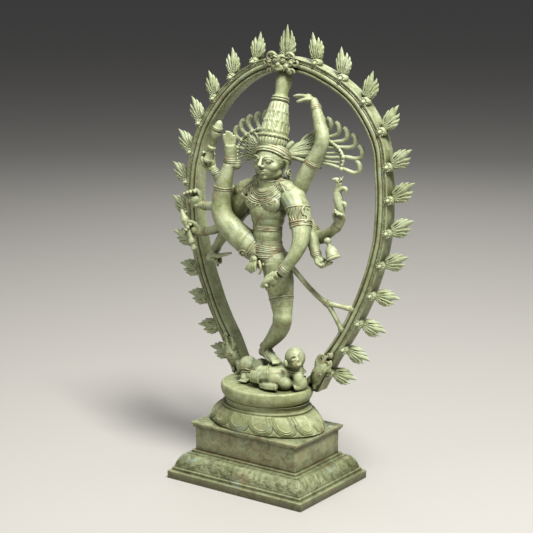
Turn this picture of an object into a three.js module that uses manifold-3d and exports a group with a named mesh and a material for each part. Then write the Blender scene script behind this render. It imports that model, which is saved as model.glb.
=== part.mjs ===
// Brass Nataraja: a dancing eight-armed figure inside a flaming arch, on a lotus seat and a moulded plinth.
// Millimetres. +Z is up, the figure faces -Y, and +X is the figure's own left.
import * as THREE from "three";
import { mergeVertices } from "three/addons/utils/BufferGeometryUtils.js";
import Module from "manifold-3d";

const wasm = await Module();
wasm.setup();
const { Manifold, Mesh } = wasm;

// Fits
const gap = 0.3; // left between two castings that touch
const pegRadius = 2.5; // flame pegs, their holes are a gap wider
const pegDepth = 6;

// Plinth
const dieHalfX = 102.7;
const dieHalfY = 64.8;
const wall = 7;
const plateHeight = 13.4;
const baseHeight = 48.2;
const dieHeight = 39.8;
const slabHeight = 9.2;
const footOffset = 34.5; // how far the lowest step stands out from the die
const slabOffset = 5.3;
const spigotHeight = 5;
const spigotWall = 4;

// Lotus seat
const bellHalfX = 107.5;
const bellHalfY = 69.5;
const neckHalfX = 73;
const neckHalfY = 61;
const bellHeight = 46;
const discHalfX = 82;
const discHalfY = 69;
const discHeight = 25;

// Tie stud that clamps the seat and the plinth to the standing foot
const studRadius = 4;
const studX = -6;
const studY = 6;
const studBite = 15; // length of stud inside the dwarf
const washerRadius = 14;
const washerHeight = 2.5;
const nutRadius = 8;
const nutHeight = 7;
const studTail = 5;

// Flaming arch
const archHalfWidth = 191.5; // to the middle of the section
const archHeight = 529; // from the seat to the middle of the section at the top
const archDepth = 29;
const archWidth = 23;
const archTopY = 58; // the top stands this far back
const archFootY = 38; // and the feet come forward
const archPast = 0.06; // share of the half width that each side runs past the top before it is cut
const archDowelRadius = 5;
const archDowelLength = 9;
const footPegRadius = 3.5;
const footPegLength = 12;

// Flames
const flamesPerSide = 12;
const flameFootReach = 49; // along the arch, from its foot to the first flame
const crestSpacing = 57; // from the crest flame to the next one
const flameLength = 52;
const flameWidth = 25;
const flameThickness = 8;
const crestLength = 56;
const crestWidth = 34;
const flameSweep = 27; // degrees each flame is bent towards the top of the arch
const lowSweep = 11; // the same for the last few flames on the figure's left, which droop
const lowFlames = 4; // how many of them droop
const archShoulder = 0.1; // bulge of the arch's left shoulder, as a share of its half width
const bossRadius = 6;
const bossLength = 22;

// Figure
const headHalf = { x: 24, y: 27, z: 31 };
const crownRadius = 27;
const hairStrands = 7;
const strandRadius = 3.4;
const limbSides = 8;
const ringsPerLink = 2;
const sashRadius = 4.5;
const sashEnds = [0.245, 0.185]; // shares of the arch line, from the foot, where the sash is tied

// Heights that follow from the sizes above
const dieTop = baseHeight + dieHeight;
const slabTop = dieTop + gap + slabHeight;
const bellTop = slabTop + gap + bellHeight;
const seatTop = bellTop + gap + discHeight;

const patina = {
  figure: ["#a8aa85", 0.62, 0.45],
  arch: ["#989a72", 0.66, 0.42],
  flame: ["#a9ae86", 0.66, 0.42],
  plinth: ["#908d68", 0.7, 0.38],
  steel: ["#6c6a63", 0.45, 0.9],
};

const root = new THREE.Group();
root.name = "nataraja";

const at = (x, y, z) => new THREE.Vector3(x, y, z);

// A point measured from the middle of the top of the seat.
const onSeat = (x, y, z) => at(x, y, seatTop + z);

// A closed three.js geometry as a solid.
function solid(geometry) {
  const bare = geometry.clone();
  bare.deleteAttribute("normal");
  bare.deleteAttribute("uv");
  const merged = mergeVertices(bare, 1e-4);
  const index = merged.index.array;
  const kept = [];
  for (let i = 0; i < index.length; i += 3) {
    const [a, b, c] = [index[i], index[i + 1], index[i + 2]];
    if (a !== b && b !== c && c !== a) kept.push(a, b, c);
  }
  return new Manifold(
    new Mesh({
      numProp: 3,
      vertProperties: merged.attributes.position.array,
      triVerts: new Uint32Array(kept),
    }),
  );
}

// Names a solid, gives it its patina and puts it in the group.
function addPiece(name, shape, finish) {
  const mesh = shape.getMesh();
  const geometry = new THREE.BufferGeometry();
  geometry.setAttribute("position", new THREE.BufferAttribute(mesh.vertProperties, 3));
  geometry.setIndex(new THREE.BufferAttribute(mesh.triVerts, 1));
  geometry.computeVertexNormals();
  const [color, roughness, metalness] = patina[finish];
  const piece = new THREE.Mesh(
    geometry,
    new THREE.MeshStandardMaterial({ color, roughness, metalness, flatShading: true }),
  );
  piece.name = name;
  root.add(piece);
}

const join = (...shapes) => Manifold.union(shapes);

// Takes several solids away from one.
function cut(shape, ...others) {
  return others.reduce((left, other) => left.subtract(other), shape);
}

// A box between two corners.
function box(low, high) {
  const geometry = new THREE.BoxGeometry(high.x - low.x, high.y - low.y, high.z - low.z);
  const middle = low.clone().add(high).multiplyScalar(0.5);
  return solid(geometry.translate(middle.x, middle.y, middle.z));
}

// Stands a shape that was made along +Y on the line from one point to another.
function alongLine(geometry, from, to) {
  const direction = to.clone().sub(from).normalize();
  const turn = new THREE.Quaternion().setFromUnitVectors(at(0, 1, 0), direction);
  geometry.applyQuaternion(turn);
  return solid(geometry.translate(from.x, from.y, from.z));
}

// A round bar from one point to another.
function bar(from, to, radius, sides = 12) {
  const length = from.distanceTo(to);
  const geometry = new THREE.CylinderGeometry(radius, radius, length, sides);
  return alongLine(geometry.translate(0, length / 2, 0), from, to);
}

// A turned shape on the line from one point to another. Rows are [radius, share of the length].
function turned(from, to, rows, sides = 12) {
  const length = from.distanceTo(to);
  const profile = rows.map(([radius, share]) => new THREE.Vector2(radius, share * length));
  return alongLine(new THREE.LatheGeometry(profile, sides), from, to);
}

// A limb of round section with domed ends, bent through its joints. Each joint is [point, radius].
function chain(joints, grow = 0) {
  const line = new THREE.CatmullRomCurve3(joints.map(([point]) => point));
  const links = joints.length - 1;
  const last = links * ringsPerLink;
  const rings = [];
  for (let i = 0; i <= last; i += 1) {
    const share = i / last;
    const link = Math.min(Math.floor(share * links), links - 1);
    const radius = THREE.MathUtils.lerp(joints[link][1], joints[link + 1][1], share * links - link);
    const ring = { centre: line.getPoint(share), tangent: line.getTangent(share) };
    rings.push({ ...ring, radius: radius + grow, along: 0 });
  }
  rings.unshift(...dome(rings[0], -1).reverse());
  rings.push(...dome(rings[rings.length - 1], 1));
  const profile = rings.map(({ radius }, i) => new THREE.Vector2(radius, i));
  return bent(new THREE.LatheGeometry(profile, limbSides), rings);
}

// Rings that close the end of a limb: a slanted step and the tip.
function dome({ centre, tangent, radius }, way) {
  const slant = radius * Math.SQRT1_2;
  return [
    { centre, tangent, radius: slant, along: way * slant },
    { centre, tangent, radius: 0, along: way * radius },
  ];
}

// Moves every row of a turned shape to its ring, square to the ring's tangent.
function bent(geometry, rings) {
  const turn = new THREE.Quaternion();
  let heading = at(0, 1, 0);
  const placed = rings.map(({ centre, tangent, along }) => {
    turn.premultiply(new THREE.Quaternion().setFromUnitVectors(heading, tangent));
    heading = tangent;
    return { turn: turn.clone(), middle: centre.clone().addScaledVector(tangent, along) };
  });
  const spots = geometry.attributes.position;
  for (let i = 0; i < spots.count; i += 1) {
    const row = placed[Math.round(spots.getY(i))];
    const spot = at(spots.getX(i), 0, spots.getZ(i)).applyQuaternion(row.turn).add(row.middle);
    spots.setXYZ(i, spot.x, spot.y, spot.z);
  }
  return solid(geometry);
}

// An egg-shaped solid.
function egg(centre, halfX, halfY, halfZ, sides = 12) {
  const geometry = new THREE.SphereGeometry(1, sides, sides / 2);
  geometry.rotateX(Math.PI / 2).scale(halfX, halfY, halfZ);
  return solid(geometry.translate(centre.x, centre.y, centre.z));
}

// A round rod bent through points.
function rod(points, radius, steps, sides) {
  const outline = new THREE.Shape();
  outline.absarc(0, 0, radius, 0, Math.PI * 2);
  const options = {
    steps,
    curveSegments: sides / 2, // three.js doubles this on an arc
    bevelEnabled: false,
    extrudePath: new THREE.CatmullRomCurve3(points),
  };
  return solid(new THREE.ExtrudeGeometry(outline, options));
}

// A moulding mitred round a rectangle. Rows are [offset from the die, height], from the bottom up.
function moulding(rows) {
  const long = 2 * (dieHalfX + footOffset) + wall;
  const silhouette = (half) => {
    const right = rows.map(([offset, z]) => new THREE.Vector2(half + offset, z));
    const left = rows.map(([offset, z]) => new THREE.Vector2(-half - offset, z)).reverse();
    return new THREE.Shape([...right, ...left]);
  };
  const slice = (half) =>
    new THREE.ExtrudeGeometry(silhouette(half), { depth: long, bevelEnabled: false })
      .translate(0, 0, -long / 2)
      .rotateX(Math.PI / 2);
  return solid(slice(dieHalfX)).intersect(solid(slice(dieHalfY).rotateZ(Math.PI / 2)));
}

// A rectangular collar that stands in the hollow of the piece above or below.
function spigot(low, high) {
  const outX = dieHalfX - wall - gap;
  const outY = dieHalfY - wall - gap;
  const inX = outX - spigotWall;
  const inY = outY - spigotWall;
  return cut(
    box(at(-outX, -outY, low), at(outX, outY, high)),
    box(at(-inX, -inY, low - wall), at(inX, inY, high + wall)),
  );
}

// The hole the tie stud runs through.
const studBore = () =>
  bar(at(studX, studY, -wall), at(studX, studY, seatTop + studBite), studRadius + gap);

// Hollow base: a square foot, a stepped fillet, the sloping petal course and a top fillet.
function plinthBase() {
  const course = plateHeight + 9;
  const neck = baseHeight - 7;
  const outer = moulding([
    [footOffset, 0],
    [footOffset, plateHeight],
    [footOffset - 6, plateHeight + 0.5],
    [footOffset - 6, course - 4],
    [footOffset - 9, course],
    [15, neck],
    [10, neck + 1],
    [4.5, baseHeight - 3],
    [4.5, baseHeight],
  ]);
  const inner = moulding([
    [footOffset - wall, -wall],
    [footOffset - wall, plateHeight - 3],
    [footOffset - wall - 9, course - 2],
    [8, neck - 4],
    [-wall, baseHeight - wall],
    [-wall, baseHeight + wall],
  ]);
  const collar = spigot(baseHeight - 1, baseHeight + spigotHeight);
  return join(cut(outer, inner), spigotRoot(), collar);
}

// Inner ledge that carries the base's collar.
function spigotRoot() {
  const ledge = box(
    at(-dieHalfX, -dieHalfY, baseHeight - wall),
    at(dieHalfX, dieHalfY, baseHeight),
  );
  const innerX = dieHalfX - wall - gap - spigotWall;
  const innerY = dieHalfY - wall - gap - spigotWall;
  return cut(ledge, box(at(-innerX, -innerY, 0), at(innerX, innerY, dieTop)));
}

// The four plain walls of the die.
function plinthDie() {
  const bottom = baseHeight + gap;
  return cut(
    box(at(-dieHalfX, -dieHalfY, bottom), at(dieHalfX, dieHalfY, dieTop)),
    box(at(wall - dieHalfX, wall - dieHalfY, 0), at(dieHalfX - wall, dieHalfY - wall, slabTop)),
  );
}

// Overhanging slab with a small moulding below its edge.
function plinthSlab() {
  const bottom = dieTop + gap;
  const plate = moulding([
    [1, bottom],
    [2.5, bottom + 1],
    [2.5, bottom + 4],
    [slabOffset, bottom + 5],
    [slabOffset, slabTop],
  ]);
  return cut(join(plate, spigot(dieTop - spigotHeight, bottom + 1)), studBore());
}

// An oval turned shape. Rows are [share of the way out from neck to rim, height above the bottom].
function oval(rows, nearX, nearY, farX, farY, bottom, sides = 28) {
  const profile = rows.map(([share, z]) => new THREE.Vector2(share, z));
  const geometry = new THREE.LatheGeometry(profile, sides).rotateX(Math.PI / 2);
  const spots = geometry.attributes.position;
  for (let i = 0; i < spots.count; i += 1) {
    const reach = Math.hypot(spots.getX(i), spots.getY(i));
    if (reach === 0) continue;
    const halfX = nearX + (farX - nearX) * Math.max(reach - 1, 0);
    const halfY = nearY + (farY - nearY) * Math.max(reach - 1, 0);
    const scale = Math.min(reach, 1) / reach;
    spots.setX(i, spots.getX(i) * scale * halfX);
    spots.setY(i, spots.getY(i) * scale * halfY);
  }
  return solid(geometry.translate(0, 0, bottom));
}

// Lotus bell: it flares from a fluted neck to a petalled rim on the slab.
function lotusBell() {
  const rows = [
    [0, 0],
    [1.97, 0],
    [2, 3],
    [1.86, 8],
    [1.62, 17],
    [1.4, 25],
    [1.22, 32],
    [1.2, 35],
    [1.1, 36],
    [1, 38],
    [1, 43],
    [1.1, bellHeight],
    [0, bellHeight],
  ];
  const shape = oval(rows, neckHalfX, neckHalfY, bellHalfX, bellHalfY, slabTop + gap);
  return cut(shape, studBore());
}

// Thick oval disc with a rounded edge, sunk for the arch pegs and bored for the stud.
function lotusDisc() {
  const half = discHeight / 2;
  const rows = [
    [0, 0],
    [1 - half / discHalfX, 0],
    [0.965, half * 0.3],
    [1, half],
    [0.965, half * 1.7],
    [1 - half / discHalfX, discHeight],
    [0, discHeight],
  ];
  const shape = oval(rows, discHalfX, discHalfY, discHalfX, discHalfY, bellTop + gap);
  return cut(shape, studBore(), footPeg(1, gap), footPeg(-1, gap));
}

// Stud, washer and nut under the slab.
function tieStud() {
  const bottom = dieTop - washerHeight - nutHeight - studTail;
  return bar(at(studX, studY, bottom), at(studX, studY, seatTop + studBite - gap), studRadius);
}

function tieWasher() {
  const top = dieTop;
  const plate = bar(
    at(studX, studY, top - washerHeight),
    at(studX, studY, top),
    washerRadius,
    20,
  );
  return cut(plate, studBore());
}

function tieNut() {
  const top = dieTop - washerHeight - gap;
  const nut = bar(at(studX, studY, top - nutHeight), at(studX, studY, top), nutRadius, 6);
  return cut(nut, studBore());
}

// How far back the arch stands at a height: it comes forward at the feet.
function archSetback(z) {
  const down = 1 - (z - seatTop) / archHeight;
  return archTopY - (archTopY - archFootY) * down * down;
}

// Line through the middle of one side of the arch, from the foot to a little past the top.
function archLine(side) {
  const bulge = side > 0 ? archShoulder : 0;
  const outline = [
    [0.375, -0.02],
    [0.53, 0.09],
    [0.7, 0.19],
    [0.865, 0.32],
    [0.975, 0.46],
    [1, 0.575],
    [0.965 + 0.2 * bulge, 0.68],
    [0.85 + 0.8 * bulge, 0.79],
    [0.6 + bulge, 0.905],
    [0.3 + 0.4 * bulge, 0.978],
    [0, 1],
    [-archPast, 1 - archPast / 10],
  ];
  return new THREE.CatmullRomCurve3(
    outline.map(([across, up]) => {
      const z = seatTop + up * archHeight;
      return at(side * across * archHalfWidth, archSetback(z), z);
    }),
  );
}

// Section of the arch: flat back, a broad outer ridge, a groove and a thin inner ridge in front.
function archSection(side, grow) {
  const depth = archDepth / 2 + grow;
  const half = archWidth / 2 + grow;
  const outline = [
    [-depth, -half],
    [-depth, half],
    [depth - 2, half],
    [depth, half - 3],
    [depth, 2],
    [depth - 3, 0],
    [depth - 3, -4],
    [depth - 0.5, -6],
    [depth - 0.5, 2 - half],
    [depth - 3, -half],
  ];
  return new THREE.Shape(outline.map(([front, out]) => new THREE.Vector2(front, side * out)));
}

// Bare bar of the arch on one side, running past the middle of the top.
function archBar(side, grow = 0) {
  const options = {
    steps: 20,
    bevelEnabled: false,
    extrudePath: archLine(side),
  };
  return solid(new THREE.ExtrudeGeometry(archSection(side, grow), options));
}

// Peg under each foot of the arch, in the rim of the disc.
function footPeg(side, grow = 0) {
  const x = side * (discHalfX - 19);
  const y = archFootY - 7;
  const low = at(x, y, seatTop - footPegLength - grow);
  return bar(low, at(x, y, seatTop + 8), footPegRadius + grow, 10);
}

// Toe of the arch foot, from over the peg to under the bar.
function footToe(side, grow = 0) {
  const inner = discHalfX - 24 - grow;
  const outer = side * archLine(side).getPoint(0).x + archWidth / 2 + grow;
  const x = side > 0 ? [inner, outer] : [-outer, -inner];
  const y = [archFootY - 13 - grow, archFootY + 12 + grow];
  return box(at(x[0], y[0], seatTop + gap - grow), at(x[1], y[1], seatTop + 12 + grow));
}

// Dowel that lines up the two halves of the arch at the top.
function archDowel(grow = 0) {
  const z = seatTop + archHeight;
  const reach = archDowelLength + grow;
  return bar(at(-reach, archTopY, z), at(reach, archTopY, z), archDowelRadius + grow);
}

// The foot, the bar and the holes for the flame pegs of one side.
function archHalf(side) {
  const holes = flameSpots(side).map((spot) => flamePeg(spot, gap));
  const past = archHalfWidth * 2;
  const low = side > 0 ? -past : -gap / 2;
  const high = side > 0 ? gap / 2 : past;
  const other = box(at(low, -past, 0), at(high, past, past * 3));
  const bars = join(archBar(side), footToe(side), footPeg(side));
  const shape = cut(bars, other, ...holes, crestPeg(gap), discBlank(gap));
  return side > 0 ? cut(shape, archDowel(gap)) : join(shape, archDowel());
}

// The disc without its holes, a gap larger, so a foot can rest on it.
function discBlank(grow) {
  const reachX = discHalfX + grow;
  const reachY = discHalfY + grow;
  const rows = [
    [0, -grow],
    [1, -grow],
    [1, discHeight + grow],
    [0, discHeight + grow],
  ];
  const blank = oval(rows, reachX, reachY, reachX, reachY, bellTop + gap);
  return cut(blank, footPeg(1, gap), footPeg(-1, gap));
}

// Where each flame of one side stands on the arch, and which way its blade points.
function flameSpots(side) {
  const line = archLine(side);
  const length = line.getLength();
  const first = flameFootReach / length;
  const last = 1 - (crestSpacing + archPast * archHalfWidth) / length;
  const spots = [];
  for (let i = 0; i < flamesPerSide; i += 1) {
    const share = last + ((first - last) * i) / (flamesPerSide - 1);
    const tangent = line.getTangentAt(share);
    const outward = at(tangent.z, 0, -tangent.x).multiplyScalar(side).normalize();
    spots.push({ side, root: line.getPointAt(share), outward });
  }
  return spots;
}

// Outline of a flame lying along +X: tongues on both sides and one long tip.
function flameOutline(length, width) {
  const tongues = 3;
  const edge = (lateral) => {
    const points = [];
    for (let i = 0; i < tongues; i += 1) {
      const share = 0.16 + (0.62 * i) / tongues;
      const reach = (width / 2) * Math.sin(Math.PI * (0.3 + 0.7 * share));
      points.push([length * share, lateral * reach * 0.62]);
      points.push([length * (share + 0.17), lateral * reach]);
    }
    return points;
  };
  const outline = [
    [0, -width * 0.16],
    ...edge(-1),
    [length, 0],
    ...edge(1).reverse(),
    [0, width * 0.16],
  ];
  return new THREE.Shape(outline.map(([x, y]) => new THREE.Vector2(x, y)));
}

// Peg of a flame, running into the arch.
function flamePeg({ root: middle, outward }, grow = 0) {
  const surface = archWidth / 2;
  const inner = middle.clone().addScaledVector(outward, surface - pegDepth - grow);
  const outer = middle.clone().addScaledVector(outward, surface + 5);
  return bar(inner, outer, pegRadius + grow, 6);
}

// One flame blade with its knobbed root and its peg.
function flame(spot, length, width, sweep) {
  const { side, root: middle, outward } = spot;
  const surface = archWidth / 2;
  const start = middle.clone().addScaledVector(outward, surface + 2);
  const lift = THREE.MathUtils.degToRad(sweep) * side;
  const direction = outward.clone().applyAxisAngle(at(0, 1, 0), -lift);
  const blade = new THREE.ExtrudeGeometry(flameOutline(length - surface / 2, width), {
    depth: flameThickness,
    bevelEnabled: false,
  })
    .translate(0, 0, -flameThickness / 2)
    .rotateX(Math.PI / 2)
    .rotateY(-Math.atan2(direction.z, direction.x))
    .translate(start.x, start.y, start.z);
  const knob = middle.clone().addScaledVector(outward, surface + 3);
  const reach = at(0, bossLength / 2, 0);
  const boss = bar(knob.clone().sub(reach), knob.clone().add(reach), bossRadius, 6);
  const onArch = cut(join(solid(blade), boss), archBar(side, gap));
  return join(onArch, flamePeg(spot));
}

const crestSpot = {
  side: 1,
  root: at(0, archTopY, seatTop + archHeight),
  outward: at(0, 0, 1),
};
const crestPeg = (grow = 0) => flamePeg(crestSpot, grow);

// The tall flame at the top of the arch.
function crestFlame() {
  const blade = flame(crestSpot, crestLength, crestWidth, 0);
  return cut(blade, cut(archBar(-1, gap), crestPeg(gap)), maskShape(gap));
}

// Horned mask over the joint at the top of the arch.
function maskShape(grow = 0) {
  const z = seatTop + archHeight + 2;
  const y = archTopY - archDepth / 2;
  const horn = (side) =>
    chain(
      [
        [at(side * 12, y - 4, z + 6), 5],
        [at(side * 24, y - 2, z + 4), 5],
        [at(side * 33, y - 2, z - 3), 3],
      ],
      grow,
    );
  return join(
    egg(at(0, y - 1, z), 18 + grow, 12 + grow, 15 + grow),
    egg(at(0, y - 10, z - 7), 9 + grow, 7 + grow, 6 + grow, 10),
    horn(1),
    horn(-1),
  );
}

// Sea-monster head that grips the foot of the arch.
function makaraShape(side, grow = 0) {
  const line = archLine(side);
  const face = (reach, inward, front) =>
    line
      .getPointAt(reach / line.getLength())
      .add(at(-side * inward, -archDepth / 2 - front, 0));
  const jaw = [
    [face(56, 3, -2), 8],
    [face(42, 6, 2), 11],
    [face(27, 8, 1), 8],
  ];
  const horn = [
    [face(54, 2, 1), 4],
    [face(62, 13, 3), 2.5],
  ];
  return join(chain(jaw, grow), chain(horn, grow));
}

// The joints of the figure: [point, radius].
const joints = {
  hipRight: [onSeat(-16, 2, 221), 21],
  thighRight: [onSeat(-60, -16, 255), 20],
  kneeRight: [onSeat(-82, -22, 293), 14.5],
  shinRight: [onSeat(-74, -22, 336), 13.5],
  ankleRight: [onSeat(-58, -18, 379), 9],
  hipLeft: [onSeat(17, 4, 205), 24],
  kneeLeft: [onSeat(38, -8, 121), 16],
  calfLeft: [onSeat(22, 2, 93), 15],
  ankleLeft: [onSeat(-10, 8, 57), 9],
};

// Trunk from the hips to the neck with the stumps of both main arms.
function torsoShape(grow = 0) {
  const low = onSeat(2, 6, 197);
  const high = onSeat(0, 6, 347);
  const rows = [
    [0, 0],
    [26 + grow, 0.02],
    [33 + grow, 0.1],
    [30 + grow, 0.28],
    [27 + grow, 0.38],
    [31 + grow, 0.52],
    [38 + grow, 0.7],
    [40 + grow, 0.77],
    [26 + grow, 0.87],
    [15 + grow, 0.91],
    [14 + grow, 0.99],
    [0, 1],
  ];
  const profile = rows.map(
    ([radius, share]) => new THREE.Vector2(radius, share * (high.z - low.z) + grow * (share - 0.5)),
  );
  const trunk = new THREE.LatheGeometry(profile, 16).rotateX(Math.PI / 2).scale(1, 0.74, 1);
  const stump = (side) =>
    chain(
      [
        [onSeat(side * 42, 8, 313), 16],
        [onSeat(side * 68, 8, 277), 15],
      ],
      grow,
    );
  return join(solid(trunk.translate(0, low.y, low.z)), stump(1), stump(-1));
}

// Head with the neck socket, face towards -Y.
function headShape(grow = 0) {
  const centre = onSeat(0, 6, 375);
  return join(
    egg(centre, headHalf.x + grow, headHalf.y + grow, headHalf.z + grow),
    chain([[onSeat(26, 12, 361), 6], [onSeat(25, 11, 353), 7]], grow),
    chain([[onSeat(-26, 12, 361), 6], [onSeat(-25, 11, 353), 7]], grow),
  );
}

// Tall crown of matted locks that leans back to a post under the arch.
function crownShape(grow = 0) {
  const low = onSeat(0, 7, 393);
  const high = at(0, archTopY - 4, seatTop + archHeight - archWidth / 2 + 3);
  const rows = [
    [0, 0],
    [crownRadius - 3, 0],
    [crownRadius, 0.06],
    [crownRadius, 0.14],
    [crownRadius - 4, 0.16],
    [19, 0.4],
    [13, 0.6],
    [14.5, 0.62],
    [14.5, 0.65],
    [11.5, 0.67],
    [13, 0.84],
    [11, 1],
    [0, 1],
  ];
  return turned(low, high, rows.map(([radius, share]) => [radius && radius + grow, share]), 16);
}

// Locks that stream out on one side of the head, tied across by a garland.
function hairFan(side) {
  const start = onSeat(side * 16, 25, 385);
  const backTip = side > 0 ? 60 : 66;
  const tip = (angle, reach) =>
    at(start.x + side * reach * Math.cos(angle), backTip, start.z + reach * Math.sin(angle));
  const pieces = [egg(start, 11, 10, 12, 10)];
  const tied = [];
  for (let i = 0; i < hairStrands; i += 1) {
    const angle = THREE.MathUtils.degToRad(-4 + (62 * i) / (hairStrands - 1));
    const reach = 122 - (44 * i) / (hairStrands - 1);
    const end = tip(angle, reach);
    const middle = start.clone().lerp(end, 0.7).add(at(0, 5, -4));
    const hook = end.clone().add(at(-side * 7, 0, 6));
    pieces.push(rod([start, middle, end, hook], strandRadius, 5, 4));
    tied.push(start.clone().lerp(end, 0.78).add(at(0, 2, -2)));
  }
  pieces.push(rod(tied, strandRadius, 6, 4));
  return cut(join(...pieces), headShape(gap), crownShape(gap), torsoShape(gap));
}

// Dwarf lying on the disc under the standing foot.
function dwarfShape(grow = 0) {
  const z = seatTop;
  const link = (...parts) => chain(parts, grow);
  return join(
    link([at(-24, 12, z + 16), 18], [at(34, 8, z + 18), 19], [at(58, 8, z + 22), 16]),
    link([at(60, 2, z + 32), 9], [at(58, 0, z + 51), 15.5]),
    link([at(64, 0, z + 28), 10], [at(72, -8, z + 8), 7]),
    link([at(4, -20, z + 16), 13], [at(44, -26, z + 12), 10]),
    link([at(-36, 0, z + 20), 14.5], [at(-30, -24, z + 7), 8]),
  );
}

// The dwarf as cast: flat underneath and bored for the stud.
function dwarf() {
  const half = discHalfX * 2;
  const below = box(at(-half, -half, 0), at(half, half, seatTop + gap));
  return cut(dwarfShape(), below, studBore());
}

const standingLegShape = (grow = 0) => {
  const { hipLeft, kneeLeft, calfLeft, ankleLeft } = joints;
  const foot = chain(
    [
      [onSeat(-17, 12, 48), 9],
      [onSeat(10, -2, 45), 9],
      [onSeat(34, -15, 44), 6],
    ],
    grow,
  );
  return join(chain([hipLeft, kneeLeft, calfLeft, ankleLeft], grow), foot);
};

const raisedLegShape = (grow = 0) => {
  const { hipRight, thighRight, kneeRight, shinRight, ankleRight } = joints;
  const foot = chain(
    [
      [onSeat(-50, -10, 377), 9],
      [onSeat(-60, -20, 403), 9],
      [onSeat(-61, -22, 423), 6],
    ],
    grow,
  );
  return join(chain([hipRight, thighRight, kneeRight, shinRight, ankleRight], grow), foot);
};

// The eight arms by their joints, outward from the shoulder.
const arms = {
  arm_right_top: [
    [onSeat(-50, 20, 315), 11],
    [onSeat(-96, 24, 313), 10],
    [onSeat(-120, 14, 345), 7],
    [onSeat(-127, 10, 363), 10],
  ],
  arm_right_upper: [
    [onSeat(-54, 20, 303), 11],
    [onSeat(-92, 22, 290), 9.5],
    [onSeat(-143, 12, 285), 7],
    [onSeat(-163, 8, 297), 9],
    [onSeat(-170, 6, 309), 5],
  ],
  arm_right_lower: [
    [onSeat(-58, 20, 289), 11],
    [onSeat(-92, 22, 263), 9.5],
    [onSeat(-143, 12, 238), 7],
    [onSeat(-163, 8, 243), 10.5],
  ],
  arm_right_front: [
    [onSeat(-66, 12, 281), 12],
    [onSeat(-98, 14, 243), 10],
    [onSeat(-110, 5, 212), 7],
    [onSeat(-118, 0, 200), 8],
    [onSeat(-94, -5, 207), 5],
    [onSeat(-68, -8, 214), 3],
  ],
  arm_left_raised: [
    [onSeat(50, 19, 325), 13],
    [onSeat(91, 26, 413), 11.5],
    [onSeat(66, 40, 466), 7.5],
    [onSeat(50, 43, 479), 7.5],
    [onSeat(28, 44, 478), 4],
  ],
  arm_left_deer: [
    [onSeat(64, 18, 279), 12],
    [onSeat(92, 16, 255), 10.5],
    [onSeat(138, 5, 281), 7],
    [onSeat(143, 2, 297), 8.5],
  ],
  arm_left_bell: [
    [onSeat(66, 8, 271), 12],
    [onSeat(86, 4, 259), 11],
    [onSeat(101, -5, 228), 7.5],
    [onSeat(114, -5, 218), 9.5],
  ],
  arm_left_front: [
    [onSeat(72, -4, 275), 14],
    [onSeat(82, -20, 263), 12],
    [onSeat(57, -40, 213), 8],
    [onSeat(34, -45, 189), 11],
  ],
};

// Turned things held in the hands: [lower end, upper end, rows].
const turnings = {
  hand_drum: [
    onSeat(-125, 9, 369),
    onSeat(-99, 8, 433),
    [
      [0, 0],
      [4.5, 0],
      [5, 0.12],
      [8, 0.2],
      [4, 0.36],
      [8, 0.52],
      [5, 0.64],
      [6.5, 0.76],
      [0, 1],
    ],
  ],
  hand_club: [
    onSeat(-153, 8, 211),
    onSeat(-182, 8, 277),
    [
      [0, 0],
      [7, 0],
      [8, 0.14],
      [4.5, 0.3],
      [4.5, 0.64],
      [8, 0.74],
      [6, 0.86],
      [0, 1],
    ],
  ],
  hand_bell: [
    onSeat(125, -5, 224),
    onSeat(127, -5, 261),
    [
      [0, 0],
      [12.5, 0],
      [10, 0.25],
      [8, 0.52],
      [3, 0.6],
      [3, 0.72],
      [5.5, 0.82],
      [5, 0.95],
      [0, 1],
    ],
  ],
};

// Leaping deer on its hind legs.
function deerShape(grow = 0) {
  const back = [onSeat(140, 2, 305), onSeat(132, 2, 339), onSeat(138, 2, 355)];
  const muzzle = [onSeat(138, 2, 357), onSeat(128, 1, 360)];
  const foreleg = [onSeat(136, 2, 343), onSeat(150, 1, 343)];
  return join(
    chain([[back[0], 5], [back[1], 7], [back[2], 4]], grow),
    chain([[muzzle[0], 4.5], [muzzle[1], 2.5]], grow),
    chain([[foreleg[0], 3.5], [foreleg[1], 2.5]], grow),
  );
}

// Rattle drum, club, bell and deer, a gap larger when a hand is hollowed to hold them.
function attributeShapes(grow = 0) {
  const shapes = { hand_deer: deerShape(grow) };
  for (const [name, [low, high, rows]] of Object.entries(turnings)) {
    const reach = high.clone().sub(low).normalize().multiplyScalar(grow);
    const thicker = rows.map(([radius, share]) => [radius && radius + grow, share]);
    shapes[name] = turned(low.clone().sub(reach), high.clone().add(reach), thicker);
  }
  return shapes;
}

// Loose end of the waist sash, forked to two points on the arch.
function sashShape() {
  const line = archLine(1);
  const end = (share) =>
    line.getPointAt(share).add(at(4 - archWidth / 2, 2 - archDepth / 2, 0));
  const tie = onSeat(106, 26, 144);
  const limbs = sashEnds.map((share) => {
    const target = end(share);
    return rod([tie.clone().add(at(-7, -3, 5)), tie, target], sashRadius, 4, 6);
  });
  const hip = [onSeat(30, 8, 213), onSeat(62, 8, 187), onSeat(92, 18, 155), tie];
  return join(rod(hip, sashRadius, 7, 6), ...limbs);
}

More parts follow.
